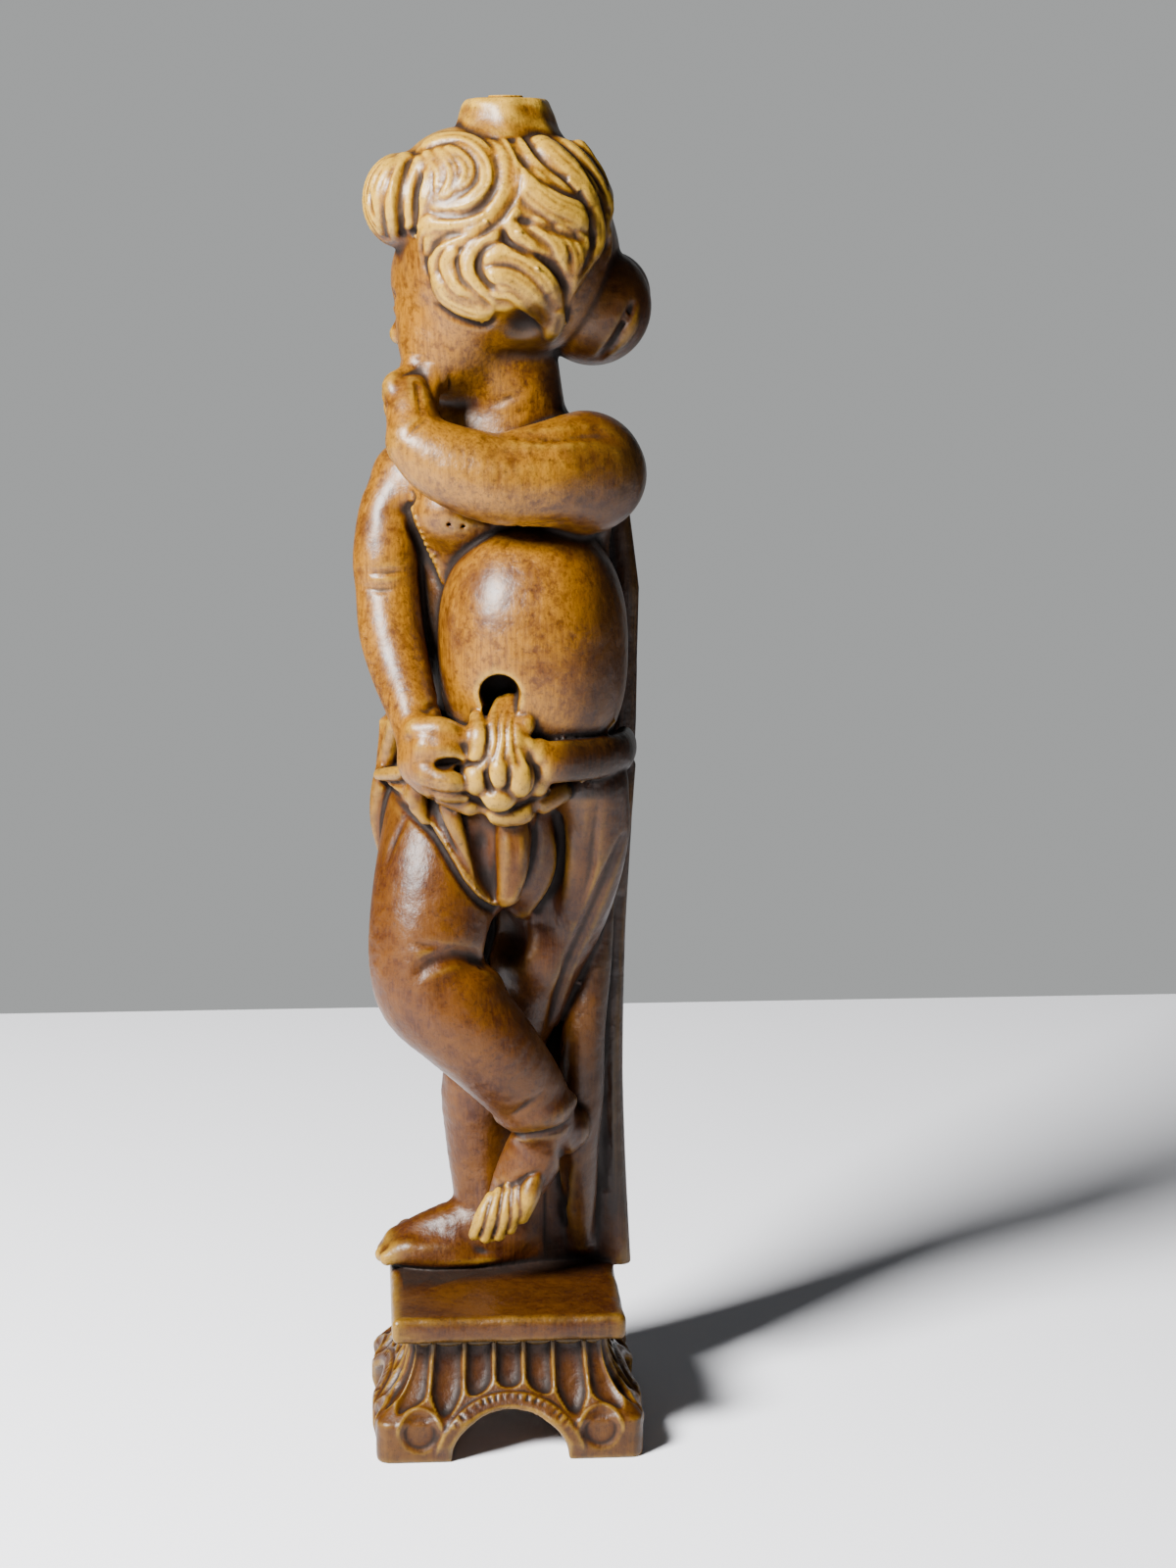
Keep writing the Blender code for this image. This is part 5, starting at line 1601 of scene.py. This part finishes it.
@dataclass
class Stub:
    """Short round stub on the crown, with a worn rounded top and a small disc in it."""

    centre: Spot = (2.0, 1.0)
    top: float = 400.0
    top_diameter: float = 24.6
    bottom_diameter: float = 33.0
    height: float = 11.0
    disc_diameter: float = 10.4
    disc_raise: float = 0.8
    flare: float = 1.5
    edge_round: float = 2.2
    blend: float = 0.6
    waves: tuple[tuple[float, ...], ...] = ((0.6, 3, 0, 0.8), (0.3, 7, 0, 0), (0.2, 4, 0.8, 0))

    def carve(self, block: WoodBlock) -> None:
        """Carve the stub.

        Args:
            block: The block.
        """
        reach = self.bottom_diameter
        x0, y0 = self.centre
        cells, x, y, z = block.patch((x0 - reach, y0 - reach, self.top - 20),
                                     (x0 + reach, y0 + reach, self.top + 5))
        face = self.top - self.disc_raise
        flare = np.clip((face - z) / self.height, 0, 1) ** self.flare
        wider = self.bottom_diameter - self.top_diameter
        radius = 0.5 * (self.top_diameter + wider * flare)
        away = np.sqrt((x - x0) ** 2 + (y - y0) ** 2)
        angle = np.arctan2(y - y0, x - x0)
        for size, turns, climb, start in self.waves:
            radius = radius + size * np.sin(turns * angle + climb * z + start)
        block.combine(cells, soft_max(away - radius, z - face, self.edge_round), self.blend)
        disc = soft_max(away - self.disc_diameter / 2, np.abs(z - face) - self.disc_raise, 0)
        block.combine(cells, disc, 0)


@dataclass
class Slab:
    """Square slab with worn edges, carved with the figure."""

    width: float = 70.0
    thickness: float = 8.2
    top: float = 43.0
    edge_round: float = 2.2
    edge_wear: float = 0.25
    wear_wide: float = 0.16
    wear_fine: float = 0.08
    blend: float = 1.0

    def carve(self, block: WoodBlock) -> None:
        """Carve the slab.

        Args:
            block: The block.
        """
        half = self.width / 2
        low = self.top - self.thickness
        out = half + 4
        cells, x, y, z = block.patch((-out, -out, low - 4), (out, out, self.top + 3))
        r = self.edge_round
        worn = (self.wear_wide * np.sin(x * 0.19 + 1) * np.sin(y * 0.23)
                + self.wear_fine * np.sin(x * 0.5 + y * 0.41))
        dx, dy = np.abs(x) - half + r, np.abs(y) - half + r
        dz = np.abs(z - 0.5 * (self.top + low)) - 0.5 * self.thickness + r
        outside = np.sqrt(sum(np.maximum(gap, 0) ** 2 for gap in (dx, dy, dz)))
        edge = smooth_step(np.minimum(np.maximum(dx, dy), dz), -1.5, 1)
        shape = outside + np.minimum(np.maximum(np.maximum(dx, dy), dz), 0) - r
        block.combine(cells, shape + edge * (self.edge_wear + worn), self.blend)


@dataclass
class CarvedFigure:
    """The carved figure with its cloak, the slab under it and the stub on its crown."""

    step: float = 0.6
    triangles: int = 190000
    fine_share: float = 0.55
    finish: AgedWood = AgedWood("figure_wood_aged")
    block_low: Point = (-52, -46, 28)
    block_high: Point = (52, 46, 406)
    # How proud the wood is at three widths; the finish paints shade into the hollows that these
    # find.
    reliefs: tuple[tuple[Relief, int, float], ...] = (
        (Relief.FINE, 2, 1.9), (Relief.MIDDLE, 6, 1.5), (Relief.WIDE, 18, 1.2))
    # Floor for the middle and wide measures on the slab's top, which keeps their painted shade off
    # it.
    slab_open: float = 0.46
    slab_edge: Spot = (31, 33.4)
    slab_sides: Zone = Zone(0.35, z=((43.6, 42),))
    # Hair that is not made pale: the bunch of curls, and the curl's painted shade.
    darker_hair: tuple[Zone, ...] = (
        Zone(0.85, centre=(30, 339), near=(20, 15)),
        replace(CURL_SHADE, level=0.85),
    )
    pale_zones: tuple[Zone, ...] = (
        Zone(0.75, y=((-26, -31),), centre=(-1.5, 207), radii=(14, 15), near=(1.1, 0.75)),
        Zone(0.7, y=((-3, -7),), centre=(-1, 66), radii=(12, 11), near=(1.15, 0.8)),
        Zone(0.5, x=((-30, -37),), z=((56, 50),)),
        Zone(0.9, z=((384, 389),)),
        Zone(0.15, y=((-12, -22),), centre=(0, 297), radii=(math.inf, 1), near=(14, 2)),
    )
    red_zones: tuple[Zone, ...] = (
        Zone(0.95, z=((224, 178),)),
        # Painted shade: the cloak behind the figure's left side is painted redder.
        Zone(1, x=((16, 28),), y=((-10, 2),), z=((300, 280),)),
        replace(SHADED_LEFT_SIDE, level=0.85),
        BELT_SHADE,
    )
    dark_zones: tuple[Zone, ...] = (
        Zone(0.42, z=((41.8, 42.8), (44.6, 43.4))),
        # Painted shade on the cloak behind the figure's left side, from the slab up to the
        # shoulder.
        Zone(0.8, x=((19, 34),), y=((-10, 4),), z=((46, 60), (300, 270))),
        # Painted shade under the slab.
        Zone(0.8, z=((37, 34.8),)),
        replace(BELT_SHADE, level=0.9),
        replace(CURL_SHADE, level=0.8),
        replace(SHADED_LEFT_SIDE, level=0.5),
    )
    torso: Torso = field(default_factory=Torso)
    cloak: Cloak = field(default_factory=Cloak)
    legs: Legs = field(default_factory=Legs)
    loincloth: Loincloth = field(default_factory=Loincloth)
    arms: Arms = field(default_factory=Arms)
    head: Head = field(default_factory=Head)
    stub: Stub = field(default_factory=Stub)
    slab: Slab = field(default_factory=Slab)

    def sculpt(self) -> WoodBlock:
        """Carve the whole figure.

        Returns:
            The carved block.
        """
        block = WoodBlock(self.block_low, self.block_high, self.step)
        for part in (self.torso, self.cloak, self.legs, self.loincloth, self.arms, self.head):
            part.carve(block)
        self.head.comb(block)
        self.stub.carve(block)
        for part in (self.torso, self.cloak, self.legs, self.loincloth, self.arms):
            part.finish(block)
        self.slab.carve(block)
        return block

    @staticmethod
    def is_fine(place: np.ndarray) -> np.ndarray:
        """Pick the points where the carving is finest: head, knot, hands and toes.

        Args:
            place: The points.

        Returns:
            A mark for every point.
        """
        x, y, z = place.T
        head = z > 322
        knot = (np.abs(x + 8) < 24) & (np.abs(z - 211) < 23) & (y < -20)
        toes = (z < 84) & (z > 44) & (y < 14) & (x < 14)
        return head | knot | toes

    def thin_out(self, thing: bpy.types.Object, place: np.ndarray, quads: np.ndarray) -> None:
        """Lower the number of triangles, and keep more of them where the carving is fine.

        Args:
            thing: The piece.
            place: Its points.
            quads: Its faces.
        """
        mask = self.is_fine(place)
        total = 2 * len(quads)
        fine = 2 * int(mask[quads].all(axis=1).sum())
        plain_target = (1 - self.fine_share) * self.triangles
        ratio = (fine + plain_target) / total
        apply_modifier(thing, "DECIMATE", ratio=ratio, use_collapse_triangulate=True,
                       vertex_group=vertex_group(thing, "plain", ~mask))
        ratio = min(self.triangles / max(len(thing.data.polygons), 1), 1)
        mask = self.is_fine(points_of(thing))
        apply_modifier(thing, "DECIMATE", ratio=ratio, use_collapse_triangulate=True,
                       vertex_group=vertex_group(thing, "fine", mask))
        thing.vertex_groups.clear()

    def measure(self, thing: bpy.types.Object, block: WoodBlock) -> None:
        """Store how hollow or proud the wood is around every point, and the tones of its zones.

        Args:
            thing: The piece.
            block: The block that it was carved from.
        """
        wood = np.clip(0.5 - block.value / block.step, 0, 1).astype(np.float32)
        place = points_of(thing)
        x, y, z = place.T
        on_slab = np.abs(z - self.slab.top) < self.step
        for relief, reach, gain in self.reliefs:
            proud = 0.5 + gain * (0.5 - block.sampled(blurred(wood, reach), place))
            if relief is not Relief.FINE:
                proud = np.where(on_slab, np.maximum(proud, self.slab_open), proud)
            store_relief(thing, relief, proud)
        hair = smooth_step(-outline_distance(x, z, self.head.hair_edge), -1, 1.5)
        for zone in self.darker_hair:
            hair = hair * (1 - zone.weight(place))
        store_relief(thing, Relief.PALE, strongest(place, self.pale_zones, hair))
        store_relief(thing, Relief.RED, strongest(place, self.red_zones))
        edge = smooth_step(np.maximum(np.abs(x), np.abs(y)), *self.slab_edge)
        edge = edge * self.slab_sides.weight(place)
        store_relief(thing, Relief.DARK, strongest(place, self.dark_zones, edge))

    def build(self) -> bpy.types.Object:
        """Carve, thin out and dress the figure.

        Returns:
            The finished piece.
        """
        block = self.sculpt()
        place, quads = SurfaceMaker(block).surface()
        low, high = (np.array(corner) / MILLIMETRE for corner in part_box(FIGURE_NODE))
        place = np.clip(place, low, high)
        mesh = bpy.data.meshes.new("carved_figure")
        mesh.from_pydata((place * MILLIMETRE).tolist(), [], quads.tolist())
        thing = bpy.data.objects.new("carved_figure", mesh)
        bpy.context.scene.collection.objects.link(thing)
        self.thin_out(thing, place, quads)
        select_only(thing)
        bpy.ops.object.shade_smooth()
        self.measure(thing, block)
        thing.data.materials.append(self.finish.make())
        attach(thing, BODY)
        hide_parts(FIGURE_NODE)
        return thing


@dataclass
class FlutedFoot:
    """Flared fluted foot with four corner pads and an arch through each side."""

    width: float = 82.0
    height: float = 34.5
    neck_width: float = 60.0
    pad_height: float = 12.0
    flare: float = 2.2
    corner_round: float = 4.0
    arch_width: float = 35.0
    arch_height: float = 15.0
    rim_width: float = 5.0
    rim_raise: float = 1.0
    flute_depth: float = 2.6
    flute_bottom: float = 12.5
    ridges_top: tuple[float, ...] = (4.4, 13.2, 22.4, 29.4)
    ridges_low: tuple[float, ...] = (4.7, 13.8, 25.0, 36.5)
    disc_radius: float = 6.2
    disc_from_middle: float = 27.0
    disc_from_table: float = 9.0
    disc_depth: float = 0.9
    ring_raise: float = 0.5
    notches: float = 58.0
    notch_depth: float = 0.7
    grain: float = 0.55
    worn_rounds: int = 14
    # How proud the wood is at three widths; the finish paints shade into the hollows that these
    # find.
    reliefs: tuple[tuple[Relief, int, float], ...] = (
        (Relief.FINE, 6, 1.5), (Relief.MIDDLE, 40, 0.42), (Relief.WIDE, 160, 0.10))
    tones: dict[Relief, tuple[Zone, ...]] = field(default_factory=lambda: {
        Relief.PALE: (Zone(0.12, z=((15, 7),)),),
        Relief.RED: (Zone(0.85),),
        # Painted shade at the top of the foot, under the slab, and a darker tone lower down.
        Relief.DARK: (Zone(0.85, z=((28, 33),)), Zone(0.35, z=((33, 28),))),
    })
    finish: AgedWood = AgedWood("foot_wood_aged", rubbed=0.7, roughness=0.36)

    def half_width(self, z: Any) -> Any:
        """Give half of the foot's width at a height.

        Args:
            z: The height.

        Returns:
            Half of the width.
        """
        pad = self.width / 2 - self.rim_raise
        neck = self.neck_width / 2
        rise = np.clip((z - self.pad_height) / (self.height - self.pad_height), 0, 1)
        return neck + (pad - neck) * (1 - rise) ** self.flare

    def rough_out(self) -> bpy.types.Object:
        """Shape the flared body from a cube.

        Returns:
            The body.
        """
        bpy.ops.object.select_all(action="DESELECT")
        base = 2 * self.half_width(0.0) * MILLIMETRE
        tall = self.height * MILLIMETRE
        bpy.ops.mesh.primitive_cube_add(size=1, location=(0, 0, 0))
        body = bpy.context.object
        body.name = body.data.name = "fluted_foot_carved"
        bpy.ops.object.mode_set(mode="EDIT")
        bpy.ops.mesh.select_all(action="SELECT")
        bpy.ops.transform.resize(value=(base, base, tall), center_override=(0, 0, 0))
        bpy.ops.transform.translate(value=(0, 0, tall / 2))
        levels = np.linspace(self.pad_height, self.height, 13)[:-1]
        for z in levels:
            bpy.ops.mesh.select_all(action="SELECT")
            bpy.ops.mesh.bisect(plane_co=(0, 0, z * MILLIMETRE), plane_no=(0, 0, 1))
        for z in (*levels, self.height):
            self.select(body, "VERT", lambda p, z=z: abs(p.z - z * MILLIMETRE) < 1e-5)
            share = float(self.half_width(z) / self.half_width(0.0))
            bpy.ops.transform.resize(value=(share, share, 1),
                                     center_override=(0, 0, z * MILLIMETRE))
        self.select(body, "EDGE", self.is_corner_edge)
        bpy.ops.mesh.bevel(offset=self.corner_round * MILLIMETRE, segments=4, affect="EDGES")
        bpy.ops.object.mode_set(mode="OBJECT")
        return body

    @staticmethod
    def select(body: bpy.types.Object, kind: str, test: Callable) -> None:
        """Select the points or edges of a piece in edit mode that pass a test.

        Args:
            body: The piece.
            kind: VERT for points, EDGE for edges.
            test: Takes the place of each end and tells whether it is wanted.
        """
        bpy.ops.mesh.select_mode(type=kind)
        bpy.ops.mesh.select_all(action="DESELECT")
        shape = bmesh.from_edit_mesh(body.data)
        points = kind == "VERT"
        for part in shape.verts if points else shape.edges:
            ends = (part,) if points else part.verts
            part.select_set(bool(test(*(end.co for end in ends))))
        if points:
            shape.select_flush_mode()
        bmesh.update_edit_mesh(body.data)

    @staticmethod
    def is_corner_edge(a: Any, b: Any) -> bool:
        """Tell whether an edge runs up one of the four corners."""
        return abs(a.z - b.z) > 1e-5 and all(abs(abs(p.x) - abs(p.y)) < 1e-5 for p in (a, b))

    def cut_arches(self, body: bpy.types.Object) -> None:
        """Cut an arch through the body from side to side, both ways.

        Args:
            body: The foot.
        """
        for turn in (0.0, math.pi / 2):
            bpy.ops.object.select_all(action="DESELECT")
            bpy.ops.mesh.primitive_cylinder_add(vertices=96, radius=1, depth=1,
                                                rotation=(math.pi / 2, 0, turn))
            arch = bpy.context.object
            bpy.ops.object.transform_apply(location=True, rotation=True, scale=True)
            spans = (0.5 * self.arch_width, 1.5 * self.width)
            spans = spans[::-1] if turn else spans
            stretch_all(tuple(span * MILLIMETRE for span in (*spans, self.arch_height)))
            apply_modifier(body, "BOOLEAN", operation="DIFFERENCE", solver="EXACT", object=arch)
            bpy.data.objects.remove(arch, do_unlink=True)

    def relief_weights(self, place: np.ndarray) -> dict[str, np.ndarray]:
        """Work out where the flutes, rims, discs and notches lie on the four sides.

        Args:
            place: Points of the body.

        Returns:
            A weight for every point, under the name of each feature.
        """
        x, y, z = place.T
        flip = np.abs(x) > np.abs(y)
        along = np.where(flip, y, x)
        across = np.abs(np.where(flip, x, y))
        on_side = smooth_step(self.half_width(z) - across, 2.0, 0.6)
        away = np.abs(along)
        share = np.clip((z - self.flute_bottom) / (self.height - self.flute_bottom), 0, 1)
        bounds = [low + (top - low) * share ** 0.8
                  for low, top in zip(self.ridges_low, self.ridges_top)]
        bounds = [-bounds[0], *bounds]
        over, up = 2 * along / self.arch_width, z / self.arch_height
        hoop = (np.sqrt(over ** 2 + up ** 2 + 1e-9) - 1) * self.arch_height
        disc = np.hypot(away - self.disc_from_middle, z - self.disc_from_table)
        clear = smooth_step(z, self.flute_bottom, self.flute_bottom + 3)
        room = np.minimum(hoop - self.rim_width - 0.6, 0.8 * (disc - self.disc_radius - 1.2))
        short = 1 - np.clip(room / 4.0, 0, 1)
        flutes = np.zeros(len(place))
        for low, high in zip(bounds[:-1], bounds[1:]):
            middle, half = 0.5 * (low + high), 0.5 * (high - low)
            gap = np.abs(away - middle) / (half - 0.35)
            flutes = np.maximum(flutes, np.sqrt(np.clip(1 - gap ** 2.4 - short ** 2, 0, 1)))
        rim = smooth_step(self.rim_width / 2 - np.abs(hoop - self.rim_width / 2), 0.0, 1.0)
        rim = rim * smooth_step(z, 1.0, 6.0)
        angle = np.arctan2(up, over)
        notch = smooth_step(np.sin(angle * self.notches + 1.5 * np.sin(7 * angle)), 0.2, 0.9)
        notch = notch * smooth_step(1.3 - np.abs(hoop - 0.66 * self.rim_width), 0, 0.8)
        notch = notch * (0.6 + 0.4 * np.sin(11 * angle)) * smooth_step(z, 9, 14)
        bowl = smooth_step(disc, self.disc_radius, self.disc_radius - 2.2)
        ring = smooth_step(1.0 - np.abs(disc - self.disc_radius - 0.5), 0.0, 0.8)
        ring = ring * smooth_step(z, 7, 11)
        weights = {"flutes": flutes * clear, "rim": rim, "notches": notch, "bowls": bowl,
                   "rings": ring}
        return {name: weight * on_side for name, weight in weights.items()}

    def carve_relief(self, body: bpy.types.Object) -> None:
        """Sink the flutes and discs and raise the rims on a fine skin.

        Args:
            body: The foot.
        """
        apply_modifier(body, "REMESH", mode="VOXEL", voxel_size=self.grain * MILLIMETRE)
        apply_modifier(body, "SMOOTH", factor=0.5, iterations=self.worn_rounds)
        depths = {"flutes": -self.flute_depth, "rim": self.rim_raise,
                  "notches": -self.notch_depth, "bowls": -self.disc_depth,
                  "rings": self.ring_raise}
        for name, weights in self.relief_weights(points_of(body)).items():
            vertex_group(body, name, weights)
        for name, depth in depths.items():
            apply_modifier(body, "DISPLACE", strength=depth * MILLIMETRE, mid_level=0,
                           vertex_group=name)
        apply_modifier(body, "SMOOTH", factor=0.5, iterations=2)
        body.vertex_groups.clear()

    def measure(self, body: bpy.types.Object) -> None:
        """Store how hollow or how proud the wood is around every point, at three widths.

        Args:
            body: The foot.
        """
        place = points_of(body)
        edges = np.empty(2 * len(body.data.edges), dtype=np.int64)
        body.data.edges.foreach_get("vertices", edges)
        a, b = edges.reshape(-1, 2).T
        count = np.bincount(np.concatenate([a, b]), minlength=len(place)).clip(1)[:, None]
        normals = np.empty(3 * len(place))
        body.data.vertices.foreach_get("normal", normals)
        normals = normals.reshape(-1, 3)
        smooth = place.copy()
        done = 0
        for relief, rounds, gain in self.reliefs:
            while done < rounds:
                around = np.column_stack([np.bincount(a, smooth[b, i], len(place))
                                          + np.bincount(b, smooth[a, i], len(place))
                                          for i in range(3)])
                smooth = 0.5 * smooth + 0.5 * around / count
                done += 1
            proud = ((place - smooth) * normals).sum(axis=1)
            store_relief(body, relief, 0.5 + gain * proud)
        for relief, zones in self.tones.items():
            store_relief(body, relief, sum(zone.weight(place) for zone in zones))

    def build(self) -> bpy.types.Object:
        """Model and dress the foot.

        Returns:
            The finished piece.
        """
        body = self.rough_out()
        self.cut_arches(body)
        self.carve_relief(body)
        low, high = (np.array(corner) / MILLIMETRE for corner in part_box(FOOT_NODE))
        place_points(body, np.clip(points_of(body), low, high))
        self.measure(body)
        select_only(body)
        bpy.ops.object.shade_smooth()
        body.data.materials.clear()
        body.data.materials.append(self.finish.make())
        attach(body, BODY)
        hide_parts(FOOT_NODE)
        return body


@dataclass
class Studio:
    """Pale floor, soft lights and the camera at the photograph's viewing angle."""

    floor_half_width: float = 1.6
    floor_front: float = -1.7
    floor_rear: float = 0.52
    floor_finish: PlainFinish = PlainFinish("pale_floor", (0.90, 0.91, 0.96, 1), 0.6)
    wall_colour: Colour = (0.40, 0.41, 0.41, 1)
    room_colour: Colour = (0.034, 0.035, 0.038, 1)
    wall_edge: Spot = (0.80, 0.92)
    camera_place: Point = (-0.0408, -0.9535, 0.368)
    camera_turn: Point = (79.9, 0, -4)
    lens: float = 74.25
    lights: tuple = (
        ("key_light", (-0.80, -0.70, 0.90), 98.0, 0.36, (1.0, 0.99, 0.97)),
        ("fill_light", (0.2, -1.3, 0.9), 0.3, 0.6, (0.95, 0.97, 1.0)),
    )
    target: Point = (0.0, 0.0, 0.22)

    def build(self) -> None:
        """Set the stage."""
        bpy.ops.object.select_all(action="DESELECT")
        bpy.ops.mesh.primitive_plane_add(size=1, location=(0, 0, 0))
        floor = bpy.context.object
        floor.name = floor.data.name = "floor"
        depth = self.floor_rear - self.floor_front
        middle = 0.5 * (self.floor_rear + self.floor_front)
        stretch_all((2 * self.floor_half_width, depth, 1), (0, middle, 0))
        floor.data.materials.append(self.floor_finish.make())
        for light in self.lights:
            self.add_light(*light)
        self.add_backdrop()
        self.add_camera()

    def add_backdrop(self) -> None:
        """Light the scene softly from a grey backdrop behind the statue, in a darker room."""
        bench = FinishBench(bpy.data.worlds.new("studio"))
        coordinates = bench.node("ShaderNodeTexCoord")
        around = Signal(bench, coordinates.outputs["Generated"])
        split = bench.node("ShaderNodeSeparateXYZ", None, {0: around})
        ahead = Signal(bench, split.outputs[1]).rise(*self.wall_edge)
        colour = bench.mix(self.room_colour, self.wall_colour, ahead)
        bench.feed(bench.socket("Color", "Background"), colour)
        bpy.context.scene.world = bench.owner

    def add_light(self, name: str, place: Point, power: float, size: float, colour: Point) -> None:
        """Add one soft light that faces the statue.

        Args:
            name: The light's name.
            place: Its place, in metres.
            power: Its power, in watts.
            size: Its width, in metres.
            colour: Its colour.
        """
        lamp = bpy.data.lights.new(name, "AREA")
        lamp.energy = power
        lamp.size = size
        lamp.color = colour
        thing = bpy.data.objects.new(name, lamp)
        bpy.context.scene.collection.objects.link(thing)
        gap = [b - a for a, b in zip(place, self.target)]
        thing.location = place
        thing.rotation_euler = (math.acos(-gap[2] / math.dist(place, self.target)), 0,
                                math.atan2(gap[1], gap[0]) - math.pi / 2)

    def add_camera(self) -> None:
        """Add the camera and make it the scene's."""
        view = bpy.data.cameras.new("camera")
        view.lens = self.lens
        view.sensor_fit = "VERTICAL"
        view.sensor_height = 36
        thing = bpy.data.objects.new("camera", view)
        bpy.context.scene.collection.objects.link(thing)
        thing.location = self.camera_place
        thing.rotation_euler = [math.radians(angle) for angle in self.camera_turn]
        bpy.context.scene.camera = thing


def main() -> None:
    """Build every piece and report it."""
    logging.basicConfig(level=logging.INFO, format="%(name)s: %(message)s")
    Studio().build()
    for maker in (FlutedFoot(), CarvedFigure()):
        piece = maker.build()
        LOG.info("%s: %d faces", piece.name, len(piece.data.polygons))


if __name__ == "__main__":
    main()
